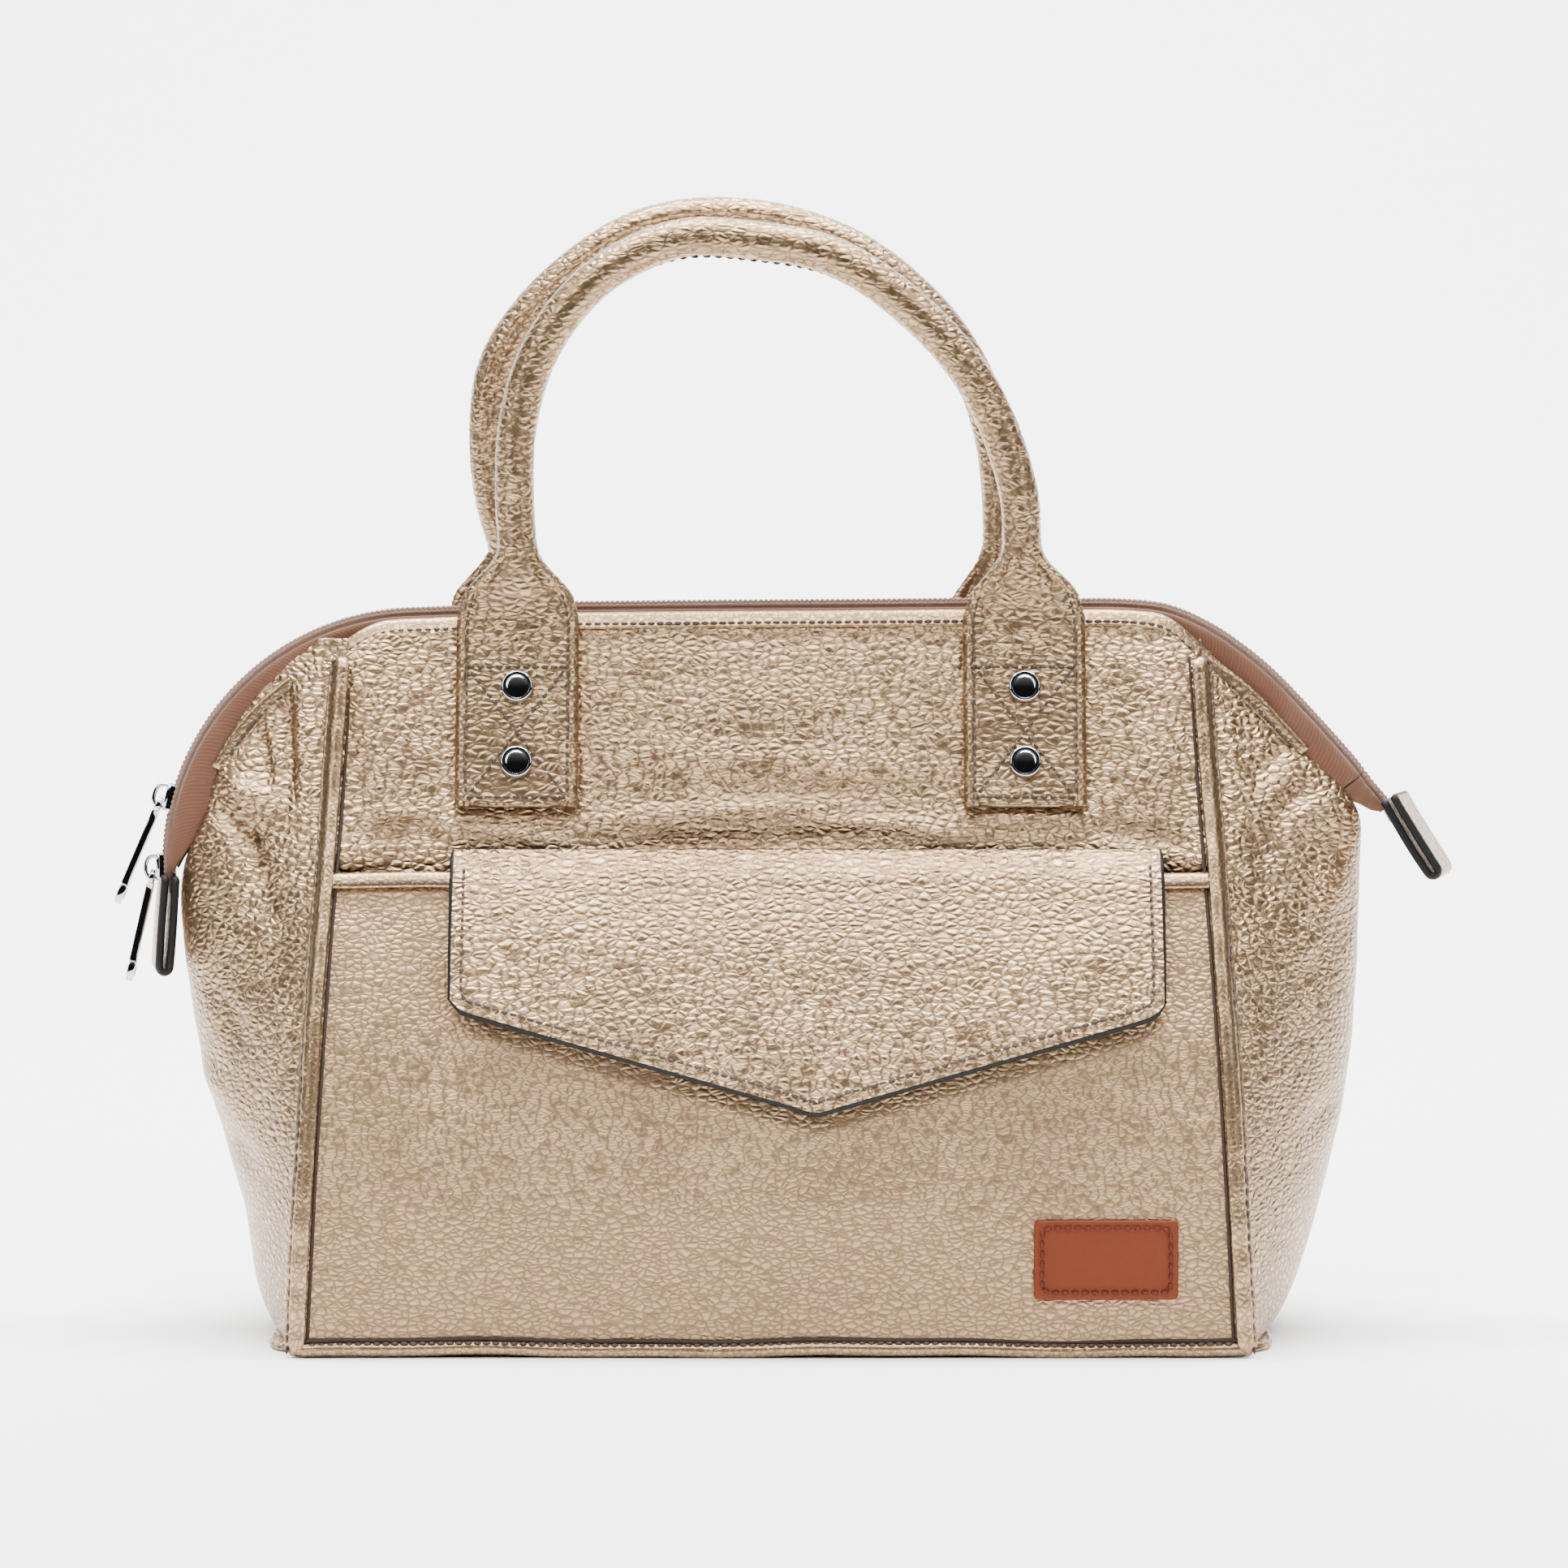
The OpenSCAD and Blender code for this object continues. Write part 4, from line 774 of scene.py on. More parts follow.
def piping(side, sizes):
    """Piping over a side seam: a band with two soft ridges and a groove, flat against the bag, whose ends
    close to a point."""
    z = np.r_[np.linspace(0.5, 130, 120), np.linspace(131, 197.2, 90)]
    path = stacked(side * side_x(z), -shell_y(z), z)
    t = unit(np.gradient(path, axis=0))
    out = unit(np.array((0.45 * side, -0.89, 0)))
    out = unit(out - (out * t).sum(1, keepdims=True) * t)
    across = np.cross(t, out)
    width = mm(sizes.piping_w) / 2
    end = np.clip((197.4 - z) / 3.2, 0.02, 1) ** 0.5 * np.clip((z - 0.2) / 4, 0.1, 1) ** 0.5
    a = around(34)
    w = powered(np.cos(a), 0.8) * width
    outer = w * side
    ridge = 1.75 * (1 - np.clip(np.abs(outer + 0.6) / 2.9, 0, 1) ** 2.6)
    ridge = ridge + 0.75 * np.exp(-((outer - 2.75) / 0.45) ** 2)
    high = np.where(np.sin(a) > 0, 0.25 + ridge * np.sqrt(np.abs(np.sin(a))), -0.9 * np.abs(np.sin(a)))
    wave = 0.12 * np.sin(z * 0.55)[:, None] * (np.sin(a) > 0)
    wave = wave + 0.25 * np.sin(z * 0.09 + side)[:, None]
    end = end[:, None]
    rings = ringed(path, across, out, w * end, (high + wave) * end + 0.3)
    return loft(rings, stacked(a * 3, z[:, None])), path + out * 0.85 + across * side * 2.0, out


def base_piping(rise=0.0, radius=2.0):
    """Piping along a bottom edge, or the seam over it: a thin bar that waves a little."""
    x = np.linspace(-133, 133, 240)
    z = 2.3 + 0.35 * np.sin(x / 19) + 0.2 * np.sin(x / 7.3)
    y = 63.1 + 0.35 * np.sin(x / 27 + 1)
    return tube(stacked(x, -y, z + rise * 1.25), radius, 14)


def slab(outline, low, high, bevel=0.3, place=None):
    """A flat plate with rounded rims: its outline drawn in by the bevel at both faces."""
    outline = np.asarray(outline, float)
    t = unit(np.roll(outline, -1, 0) - np.roll(outline, 1, 0))
    area = (outline[:, 0] * np.roll(outline[:, 1], -1) - outline[:, 1] * np.roll(outline[:, 0], -1)).sum()
    inner = stacked(-t[:, 1], t[:, 0]) * np.sign(area)
    c, s = (f(np.linspace(0, math.pi / 2, 4))[:, None] for f in (np.cos, np.sin))
    flat, height = outline + inner * (bevel * (1 - s))[..., None], low + bevel * (1 - c)
    rings = stacked(*np.moveaxis(np.concatenate([flat, flat[::-1]]), -1, 0),
                    np.concatenate([height, low + high - height[::-1]]))
    return loft(rings if place is None else place(rings), rings[..., :2])


def holed(outline, hole, low, high, bevel, place):
    """A flat plate with a hole: both outlines have the same count, and its section is a rounded bar
    between them."""
    across = unit(hole - outline) * bevel
    rows = [(outline + across, low), (outline + across * 0.3, low + bevel * 0.3), (outline, low + bevel),
            (outline, high - bevel), (outline + across * 0.3, high - bevel * 0.3), (outline + across, high),
            (hole - across, high), (hole, high - bevel), (hole, low + bevel), (hole - across, low)]
    rings = place(np.array([stacked(*p.T, h) for p, h in rows]))
    count, size = rings.shape[:2]
    return solid(rings, quads(count + 1, size, True) % (count * size))


def rounded(width, height, radius, count=8):
    """Outline of a rectangle with round corners, round its middle."""
    a = np.linspace(0, math.pi / 2, count)
    points = []
    for k, (sx, sz) in enumerate(((1, 1), (-1, 1), (-1, -1), (1, -1))):
        turn = a + k * math.pi / 2
        points += list(zip(sx * (width / 2 - radius) + radius * np.cos(turn),
                           sz * (height / 2 - radius) + radius * np.sin(turn)))
    return even(np.array(points + points[:1]), 0.6)[:-1]


def on_arc(angle):
    """Places local points, given up the zip, across it and out of the bag, on its round shoulder."""
    a = math.radians(angle)
    up, out = np.array([math.sin(a), 0, -math.cos(a)]), np.array([math.cos(a), 0, math.sin(a)])
    centre = np.array([ARC_X, 0, ARC_Z]) + ZIP_R * out

    def place(p):
        return centre + p[..., :1] * up + p[..., 1:2] * (0, 1.0, 0) + p[..., 2:3] * out
    return place


def slider(angle):
    """One slider: a rounded plate over the coils and one under the tape, joined by a wedge and two
    flanges, and a wire bail that the pull hangs on."""
    place = on_arc(angle)
    outline = rounded_box(4.25, 4.1 + 0.45 * np.cos(around(48)), 48, 0.6, 0.6)
    wedge = rounded(2.4, 0.9, 0.4)
    side = rounded(8.0, 1.1, 0.5)
    bail = spline([(-3.1, 0, 0.9), (-3.5, 0, 2.4), (-3.1, 0, 4.1), (-1.6, 0, 5), (1, 0, 5), (2.7, 0, 4.1),
                   (3.2, 0, 2.4), (3, 0, 0.9)], 48)
    return joined([slab(outline, 0.3, 1.6, 0.5, place), slab(outline, -4.1, -3.1, 0.4, place),
                   slab(wedge + (1.9, 0), -3.4, 0.6, 0.2, place),
                   slab(side + (0, 4.0), -1.6, 0.7, 0.25, place), slab(side - (0, 4.0), -1.6, 0.7, 0.25, place),
                   tube(place(bail), 0.6, 12)])


def pull(angle, turn):
    """One pull: a flat bar with a long eye that hangs on the bail, and a round hole in its wider end."""
    c, s = math.cos(math.radians(turn)), math.sin(math.radians(turn))
    to_arc = on_arc(angle)

    def place(p):
        x, y, z = p[..., 2], p[..., 1], -p[..., 0]
        return to_arc(stacked(-1.4 + x * c + z * s, y, 2.9 - x * s + z * c))
    eye, slot = rounded_box(2.6, 2.55, 40, 1, 1) + (1.75, 0), rounded_box(1.85, 1.6, 40, 1, 1) + (1.9, 0)
    head, hole = rounded_box(3.7, 3.28, 40, 0.75, 0.8) + (29.4, 0), rounded_box(1.6, 1.6, 40, 1, 1) + (29.6, 0)
    run = np.linspace(3.4, 26.6, 24)
    half = np.interp(run, (3.4, 5.5, 9, 20, 26.6), (2.1, 1.9, 2.3, 3.0, 3.25))
    bar = np.concatenate([stacked(run, half), stacked(run, -half)[::-1]])
    return joined([holed(eye, slot, -0.75, 0.75, 0.3, place), slab(bar, -1.05, 1.05, 0.35, place),
                   holed(head, hole, -1.05, 1.05, 0.35, place)])


def folded_tab(start, direction, length, half=9.8, spread=0.2, bow=0.0):
    """End tab: one strip of leather folded round its lower end. The section is a long U seen from the
    front, drawn out along Y, and its cut rims are painted."""
    d = unit(np.array(direction, float))
    n = np.array([d[1], -d[0]])
    turn = np.linspace(-math.pi / 2, math.pi / 2, 12)
    reach = length - spread - 3.0
    run = np.r_[np.linspace(0, reach, 26), reach + (spread + 0.6) * np.cos(turn)[1:-1],
                np.linspace(reach, 0, 26)]
    gap = spread * (0.35 + 0.65 * np.sin(math.pi * np.clip(run / reach, 0, 1) ** 1.4)) + 0.35
    across = np.r_[-gap[:26], (spread * 0.35 + 0.35) * np.sin(turn)[1:-1], gap[-26:]]
    flat = start + run[:, None] * d + (across + bow * (run / length) ** 2)[:, None] * n
    y = half * powered(np.linspace(-1, 1, 15), 0.95)
    tuck = 1.4 * np.clip(run / length - 0.86, 0, 1) / 0.14
    p = stacked(flat[:, None, 0], y * (1 - 0.05 * tuck[:, None]), flat[:, None, 1])
    return shell(p, 2.3, 1, stacked(y, run[:, None]))


def facing(line, high, outer, low=2.4):
    """Twill beside the zip: a padded strip whose width and bulge change along the line."""
    k = np.arange(len(line))
    ripple = 0.18 * np.sin(k * 0.47) * np.sin(k * 0.063 + 1)
    return strip(line, pillow(low, high, 4.6, outer + ripple, 22, 2.5))


def lining_half(back):
    """Half of the lining, a little inside the leather: it follows the shell, then the mouth half, and is
    cut short of the middle so that the frame has room."""
    z = np.r_[np.linspace(4.6, 120, 40), np.linspace(123, 203, 36)]
    inset = 2.9 + 1.6 * step(z, 118, 150)
    x = side_x(z) - inset * 0.5 - 4 * step(z, 190, 203)
    y = np.maximum((shell_y(z) if back else eased(z, INNER_DEPTH, 4)) - inset - 0.4, 5.3)
    corner = 149 + np.interp(z, (0, 60, 94, 127, 160, 203), (-2, 8, 17, 20, 10, -20)) - inset
    corner = np.maximum(corner, x + 1)
    deep = np.where(z > 127, 5.3, 0.3 + 5 * step(z, 112, 127))
    s = np.linspace(0, math.pi / 2, 15)[1:]
    rows = []
    for k in range(len(z)):
        side = stacked(x[k] + (corner[k] - x[k]) * np.sin(s), y[k] + (deep[k] - y[k]) * (s / s[-1]))
        face = stacked(np.linspace(-x[k], x[k], 60), y[k])
        rows.append(np.vstack([(side * (-1, 1))[::-1], face, side]))
    x, y = np.moveaxis(np.array(rows), -1, 0)
    wave = 0.5 * np.sin(x / 11) * (step(z, 10, 40) * step(-z, -120, -90))[:, None] * (np.abs(x) < 120)
    p = stacked(x, wave - y, z[:, None])
    return shell(p, 0.7, 0, p[..., (0, 2)])


def base_slab():
    """Underside: a rounded rectangle of leather that bulges a little past the seams at both sides."""
    return slab(rounded_box(144.5, 61.5, 200, 0.3, 0.2), 0.0, 2.6, 1.1)


def twisted(path, radius, strands=3, pitch=22.0):
    """Cotton core: a bar of a few strands, whose outline turns once in each pitch."""
    _, b, s = frames(path)
    a = around(24)
    turn = 2 * math.pi * run_along(path)[:, None] / pitch
    r = radius * (0.86 + 0.14 * np.abs(np.cos(strands * (a - turn) / 2)))
    return loft(ringed(path, b, s, r * np.cos(a), r * np.sin(a)))


# Materials

def feed(tree, node, inputs):
    """Sets or links the inputs of a node."""
    for key, value in inputs.items():
        if isinstance(value, bpy.types.NodeSocket):
            tree.links.new(value, node.inputs[key])
        else:
            node.inputs[key].default_value = value


def add(tree, kind, inputs=None, **settings):
    """Adds a shader node with its settings, and sets or links its inputs."""
    node = tree.nodes.new(kind)
    for key, value in settings.items():
        setattr(node, key, value)
    feed(tree, node, inputs or {})
    return node


def sums(tree, operation, *values):
    """Result of a math node."""
    return add(tree, "ShaderNodeMath", dict(enumerate(values)), operation=operation).outputs[0]


def vectors(tree, operation, *values):
    """Vector result of a vector math node."""
    return add(tree, "ShaderNodeVectorMath", dict(enumerate(values)), operation=operation).outputs[0]


def ranged(tree, value, low, high, to_low=0.0, to_high=1.0, smooth=False):
    """A value carried from one range to another, in a straight line or a smooth S."""
    inputs = {"Value": value, "From Min": low, "From Max": high, "To Min": to_low, "To Max": to_high}
    kind = "SMOOTHSTEP" if smooth else "LINEAR"
    return add(tree, "ShaderNodeMapRange", inputs, interpolation_type=kind).outputs[0]


def noise(tree, at, size, detail, roughness=0.5):
    """A noise with spots of a size in millimetres."""
    return add(tree, "ShaderNodeTexNoise", {"Vector": at, "Scale": 1 / (size * MM), "Detail": detail,
                                            "Roughness": roughness})


def cells(tree, at, scale, feature="DISTANCE_TO_EDGE", **inputs):
    """Distances in a cell noise."""
    inputs = {"Vector": at, "Scale": scale, "Randomness": 1.0, **inputs}
    return add(tree, "ShaderNodeTexVoronoi", inputs, feature=feature).outputs["Distance"]


def blended(tree, share, low, high):
    """A colour between two others."""
    return add(tree, "ShaderNodeMix", {"Factor": share, 6: low, 7: high}, data_type="RGBA").outputs[2]


def bumped(tree, height, strength, distance):
    """Normal of a surface with a height."""
    return add(tree, "ShaderNodeBump", {"Height": height, "Strength": strength,
                                        "Distance": distance}).outputs["Normal"]


def new_material(name):
    """A material with only a principled shader and its output."""
    old = bpy.data.materials.get(name)
    if old:
        bpy.data.materials.remove(old)
    material = bpy.data.materials.new(name)
    material.use_nodes = True
    tree = material.node_tree
    tree.nodes.clear()
    shader = add(tree, "ShaderNodeBsdfPrincipled")
    add(tree, "ShaderNodeOutputMaterial", {"Surface": shader.outputs["BSDF"]})
    return material, tree, shader


def rgba(colour):
    return (*colour, 1)


def leather(name, sizes, face, groove, blush, stretch=(1, 1, 0.6), depth=1.0, smooth=0.0, matte=0.0):
    """Full-grain leather with a metal foil: rounded pebbles of a cell noise's distance to its edges, wider than
    high, with finer wrinkles in them and worn, warmer patches. Painted shade darkens the grooves between the
    pebbles."""
    material, tree, shader = new_material(name)
    at = add(tree, "ShaderNodeTexCoord").outputs["Object"]
    drift = vectors(tree, "SUBTRACT", noise(tree, at, 5, 1).outputs["Color"], (0.5, 0.5, 0.5))
    drift = add(tree, "ShaderNodeVectorMath", {0: drift, "Scale": 1.8 * MM}, operation="SCALE").outputs[0]
    rate = tuple(1 / (sizes.pebble * k) for k in stretch)
    big = vectors(tree, "MULTIPLY", vectors(tree, "ADD", at, drift), rate)
    pebble = cells(tree, big, 1.0)
    small = cells(tree, big, 2.3)
    cell = cells(tree, big, 1.0, "SMOOTH_F1", Smoothness=0.35)
    dome = ranged(tree, pebble, -0.05, 0.4, 0.0, 0.75, True)
    dome = sums(tree, "MULTIPLY_ADD", sums(tree, "MULTIPLY", cell, cell), -0.7, dome)
    dome = sums(tree, "ADD", dome, 0.2)
    grain = sums(tree, "MULTIPLY_ADD", ranged(tree, small, 0.0, 0.22, smooth=True), 0.08, dome)
    worn = noise(tree, at, 26, 3, 0.6).outputs["Fac"]
    height = sums(tree, "MULTIPLY", grain, ranged(tree, worn, 0.36, 0.62, 1.0, 0.65 - 0.2 * smooth))
    height = sums(tree, "MULTIPLY_ADD", noise(tree, at, 0.45, 3).outputs["Fac"], 0.05, height)
    warm = ranged(tree, noise(tree, at, 11, 4, 0.7).outputs["Fac"], 0.5, 0.75, 0.0, 0.5)
    base = blended(tree, warm, rgba(face), rgba(blush))
    # Painted shade: the bottom of each groove between the pebbles is blended toward the groove colour, for the
    # shade that falls in it
    base = blended(tree, ranged(tree, pebble, 0.0, 0.2, 0.6, 0.0), base, rgba(groove))
    feed(tree, shader, {"Base Color": base, "Metallic": 1.0,
                        "Roughness": ranged(tree, grain, 0.0, 1.1, 0.4 + matte, 0.27 + matte),
                        "Normal": bumped(tree, height, 1.0, sizes.grain_depth * depth)})
    return material


def ribbed(name, colour, rib, across, depth, roughness, shine=0.2):
    """Woven or wound cloth: ribs square to a direction in its surface's own uv, and a fine fuzz, with painted
    shade darkening the colour where they sink.
    """
    material, tree, shader = new_material(name)
    at = add(tree, "ShaderNodeUVMap", uv_map="surface").outputs["UV"]
    turns = tuple(2 * math.pi * c / rib for c in across)
    run = add(tree, "ShaderNodeVectorMath", {0: at, 1: turns}, operation="DOT_PRODUCT").outputs["Value"]
    height = sums(tree, "MULTIPLY_ADD", sums(tree, "SINE", run), 0.5, noise(tree, at, 0.35, 3).outputs["Fac"])
    # Painted shade: the colour is blended toward a darker copy where the ribs and fuzz sink
    dark = tuple(c * 0.62 for c in colour)
    base = blended(tree, ranged(tree, height, -0.2, 1.0), rgba(dark), rgba(colour))
    feed(tree, shader, {"Base Color": base, "Roughness": roughness, "Sheen Weight": shine,
                        "Normal": bumped(tree, height, 0.9, depth * MM), "Sheen Roughness": 0.5})
    return material


def plain(name, colour, roughness, metallic=0.0, fine=0.6, depth=0.03, streak=(1, 1, 1), gloss=0.5):
    """A plain surface with a fine noise in its height and its roughness."""
    material, tree, shader = new_material(name)
    at = vectors(tree, "MULTIPLY", add(tree, "ShaderNodeTexCoord").outputs["Object"], streak)
    fuzz = noise(tree, at, fine, 4).outputs["Fac"]
    feed(tree, shader, {"Base Color": rgba(colour), "Metallic": metallic,
                        "Roughness": ranged(tree, fuzz, 0.3, 0.7, roughness * 0.85, roughness * 1.15),
                        "Normal": bumped(tree, fuzz, 0.8, depth * MM), "Specular IOR Level": gloss})
    return material


def make_materials(sizes, colours):
    """Every material of the bag and of its stage, by a short name."""
    hide = (sizes, colours.gold, colours.groove, colours.blush)
    return {
        # Full-grain cowhide with champagne foil, pebbled, on the panels
        "gold": leather("Champagne leather", *hide),
        # The same hide drawn flat over the pocket, with a finer and shallower pebble
        "flat": leather("Champagne leather, flat", *hide, stretch=(0.85, 1, 0.5), depth=0.62, smooth=0.5,
                        matte=0.14),
        # The same hide rolled round the handles, where it creases across
        "rolled": leather("Champagne leather, rolled", *hide, stretch=(1.1, 1, 0.6), depth=0.7, smooth=1.0),
        # The same hide pulled thin over the pipings and the trim
        "thin": leather("Champagne leather, skived", *hide, stretch=(0.6, 0.6, 0.6), depth=0.22, smooth=1.5),
        # Cut edges of the hide, painted dark and polished
        "edge": plain("Painted edge", colours.edge, 0.5, 0.0, 1.2, 0.05, gloss=0.15),
        # Raw brown edges of the hide down in the seams, coloured dark as painted shade in the seam gaps
        "raw_edge_and_shade": plain("Raw edge and painted seam shade", colours.raw_edge_and_shade, 0.9, 0.0, 0.6, 0.1),
        # Smooth vegetable-tanned leather of the patch
        "tan": plain("Tan leather", colours.tan, 0.6, 0.0, 0.5, 0.06, gloss=0.2),
        # Waxed polyester sewing thread
        "thread": plain("Thread", colours.thread, 0.55, 0.0, 0.25, 0.03),
        # The same thread in the patch's colour
        "tan_thread": plain("Patch thread", colours.tan_thread, 0.6, 0.0, 0.25, 0.03, gloss=0.2),
        # Cotton and nylon twill of the facings, with diagonal ribs
        "twill": ribbed("Twill facing", colours.twill, sizes.twill_rib, (0.8, 0.6, 0), 0.05, 0.82),
        # Woven zip tape
        "tape": ribbed("Zip tape", colours.coil, 0.6 * MM, (1, 0, 0), 0.08, 0.8),
        # Nylon monofilament of the coils, with sewn turns
        "coil": ribbed("Coil nylon", colours.coil, sizes.coil_pitch, (0, 1, 0), 0.10, 0.5, 0.0),
        # Bright nickel plating on zinc
        "nickel": plain("Nickel plate", colours.nickel, 0.08, 1.0, 6, 0.01),
        # Bright spring steel strip
        "steel": plain("Spring steel", colours.steel, 0.34, 1.0, 0.8, 0.02, (0.1, 1, 1)),
        # Plain woven cotton lining
        "lining": ribbed("Lining cloth", colours.lining, 0.9 * MM, (1, 0.2, 0), 0.08, 0.9),
        # Grey pressed board
        "board": plain("Board", colours.board, 0.85, 0.0, 0.9, 0.08),
        # Twisted cotton cord
        "cotton": plain("Cotton cord", colours.cotton, 0.9, 0.0, 0.4, 0.1),
        # Matt paper sweep
        "floor": plain("Paper", colours.floor, 0.9, 0.0, 8, 0.01),
    }


# Operators, one for each group of pieces

MATERIALS = {}


# Angles on the zip's round shoulder where the tail and its bare tape start and end, and, of each parked
# slider, its angle there and the turn of its pull, in degrees
TAIL = (183.2, 158.8)
BARE_TAPE = (186.5, 182.8)
PARKED = (("upper", 165, 98), ("lower", 180.6, 103.3))


def sizes():
    return bpy.context.scene.bag_sizes


def colours():
    return bpy.context.scene.bag_colours


def skin(*names):
    """Materials by their short names."""
    if not MATERIALS:
        raise RuntimeError("The materials are made first")
    return [MATERIALS[n] for n in names]


def dress(name, item, surface, replaced=(), back=False):
    """Adds a solid with its materials, whose first one gives its slot. It is mirrored for the back."""
    surfaces = surface.split()
    return add_piece(name, mirrored(item) if back else item, skin(*surfaces), replaced)


class BAG_OT_materials(bpy.types.Operator):
    """Make every material from the sizes and colours"""
    bl_idname = "bag.materials"
    bl_label = "Materials"

    def execute(self, context):
        MATERIALS.clear()
        MATERIALS.update(make_materials(sizes(), colours()))
        return {"FINISHED"}


class BAG_OT_shell(bpy.types.Operator):
    """Front and back leather, the side leather and the underside.
    The front and back follow a table of depth over height with creases added as bells round lines; the
    sides are quarter waves in plan that flatten toward the mouth"""
    bl_idname = "bag.shell"
    bl_label = "Leather shell"

    def execute(self, context):
        tops = np.linspace(-134, 134, 269)
        x, z = panel_grid((tops, trim_low(tops) + 1.4), 200, 150)
        for back, face in ((False, front_leather(x, z)), (True, back_leather(x, z)[:, ::-1])):
            word, item = prefix(back), shell(face, 1.5, 0, stacked(x, z))
            fold(dress(word + "_leather", item, "gold", (word + "_panel", word + "_top_panel")))
        for back in (False, True):
            for side, word in SIDES:
                top = 202.0 if side < 0 else 198.5
                rows = np.r_[np.linspace(3, 100, 60), np.linspace(101.2, top, 100)]
                z, u = np.meshgrid(rows, np.linspace(0, 1, 46), indexing="ij")
                item = shell(gusset(side, z, u)[:, ::side], 1.5, 0, stacked(u * 60, z))
                replaced = ("gusset_" + word, prefix(back) + "_gusset_tops")
                fold(dress(f"{prefix(back)}_side_{word}", item, "gold", replaced, back))
        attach(dress("underside", base_slab(), "gold", ("base_panel",)), "bag_body")
        return {"FINISHED"}


class BAG_OT_pipings(bpy.types.Operator):
    """Pipings over the side seams and along the bottom, with their stitches.
    A piping is a band with two ridges and a groove, each ridge a bell over its width"""
    bl_idname = "bag.pipings"
    bl_label = "Pipings"

    def execute(self, context):
        for back in (False, True):
            half = prefix(back)
            for side, word in SIDES:
                item, line, out = piping(side, sizes())
                top = trim_low(side * side_x(203)) - 0.6 if side < 0 else 202.5
                z = np.linspace(198.2, top, 12)
                seam = stacked(side * side_x(z), -shell_y(z) - 0.1, z)
                thread = joined([stitches(seam, (0, -1, 0.2), sizes()), stitches(line, out, sizes(), 3.2)])
                z = np.linspace(4, 197, 160)
                # A thin dark tube beside each piping: painted shade in the seam's gap
                gap = tube(stacked(side * (side_x(z) - 3.5), -shell_y(z) - 0.1, z), 0.55, 8)
                for end, shape, surface, replaced in (
                        ("_seam", gap, "raw_edge_and_shade", ()),
                        ("", item, "thin", ("piping_" + half, half + "_piping_tops")),
                        ("_thread", thread, "thread", ())):
                    fold(dress(f"{half}_piping_{word}{end}", shape, surface, replaced, back))
            x = np.linspace(-131, 131, 200)
            row = stitches(stacked(x, -64.3, 4.0 + 0.35 * np.sin(x / 19)), (0, -1, 0.5), sizes())
            # The seam bar over the bottom piping is coloured dark as painted shade
            for end, shape, surface, replaced in (("seam", base_piping(2.0, 0.7), "raw_edge_and_shade", ()),
                                                  ("piping", base_piping(), "thin", ("piping_base",)),
                                                  ("thread", row, "thread", ())):
                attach(dress(f"{half}_bottom_{end}", shape, surface, replaced, back), "bag_body")
        return {"FINISHED"}


class BAG_OT_pocket(bpy.types.Operator):
    """Front pocket, its binding, the patch and the strip that the flap is sewn to.
    The pocket follows the shell's depth with soft hollows"""
    bl_idname = "bag.pocket"
    bl_label = "Pocket"

    def execute(self, context):
        x, z = panel_grid(((-134, 134), (POCKET_TOP, POCKET_TOP)), 180, 90)
        panel = shell(pocket_leather(x, z), 1.6, 0, stacked(x, z))
        run = np.linspace(-1, 1, 220) * (side_x(134) - 1.5)
        lift = stacked(0, 0, 0.2 * np.sin(run / 9) + 0.15 * np.sin(run / 23))
        rings = [pocket_leather(run, np.full(len(run), h)) - (0, y, 0) + lift
                 for h, y in pillow(POCKET_TOP - 1, POCKET_TOP + 3.5, -1.2, 2.1, 16, 2.6)]
        binding = loft(np.stack(rings, 1), stacked(np.arange(16), run[:, None]))
        row = pocket_leather(run, np.full(len(run), POCKET_TOP + 0.2)) - (0, 2.0, 0) + lift
        top_seam = stitches(row[4:-4], (0, -1, 0.4), sizes())
        u, v = np.meshgrid(np.linspace(-1, 1, 56), np.linspace(-1, 1, 32))
        x = PATCH_AT[0] + PATCH_HALF[0] * u * (1 - 0.008 * v ** 16)
        z = PATCH_AT[1] + PATCH_HALF[1] * v * (1 - 0.012 * u ** 16)
        patch = shell(pocket_leather(x, z) - (0, 1.5, 0), 1.5, 0, stacked(x, z))
        rim = rounded(36.4, 18.2, 1.0)
        x, z = even(np.vstack([rim, rim[:1]]) + PATCH_AT, 0.8).T
        patch_seam = stitches(pocket_leather(x, z) - (0, 1.65, 0), (0, -1, 0), sizes(), 2.8, 0.5)
        x, z = np.meshgrid(np.linspace(-90.4, 111.4, 80), np.linspace(128.2, 141.4, 12))
        flap_seam = shell(stacked(x, -(eased(z, INNER_DEPTH, 4) + 1.2), z), 1.0, 1)
        for name, item, surface, replaced in (
                ("pocket_front", panel, "flat", ("pocket_panel", "pocket_seams")),
                ("pocket_edge", binding, "thin", ("pocket_binding",)),
                ("pocket_thread", top_seam, "thread", ()),
                ("front_patch", patch, "tan", ("patch",)),
                ("patch_thread", patch_seam, "tan_thread", ()),
                ("flap_seam", flap_seam, "thin edge", ("flap_strip",))):
            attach(dress(name, item, surface, replaced), "bag_body")
        return {"FINISHED"}


class BAG_OT_flap(bpy.types.Operator):
    """Pointed flap over the pocket, with painted edges and a stitched margin.
    Its face follows the pocket's slope and rolls over to the strip on a quarter ellipse"""
    bl_idname = "bag.flap"
    bl_label = "Flap"

    def execute(self, context):
        p = flap_face()[::-1]
        item = shell(p, 2.3, 1, p[..., (0, 2)], 5)
        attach(dress("pocket_flap", item, "gold edge", ("flap_outer", "flap_lining")), "flap")
        rim = even(np.array(FLAP, float), 1.0)
        t = unit(np.gradient(rim, axis=0))
        x, z = (rim + stacked(-t[:, 1], t[:, 0]) * 3.0).T
        row = stacked(x, -flap_y(z) - 0.05, z)[z < 138.5]
        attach(dress("flap_thread", stitches(row, (0, -1, 0.45), sizes()), "thread"), "flap")
        return {"FINISHED"}


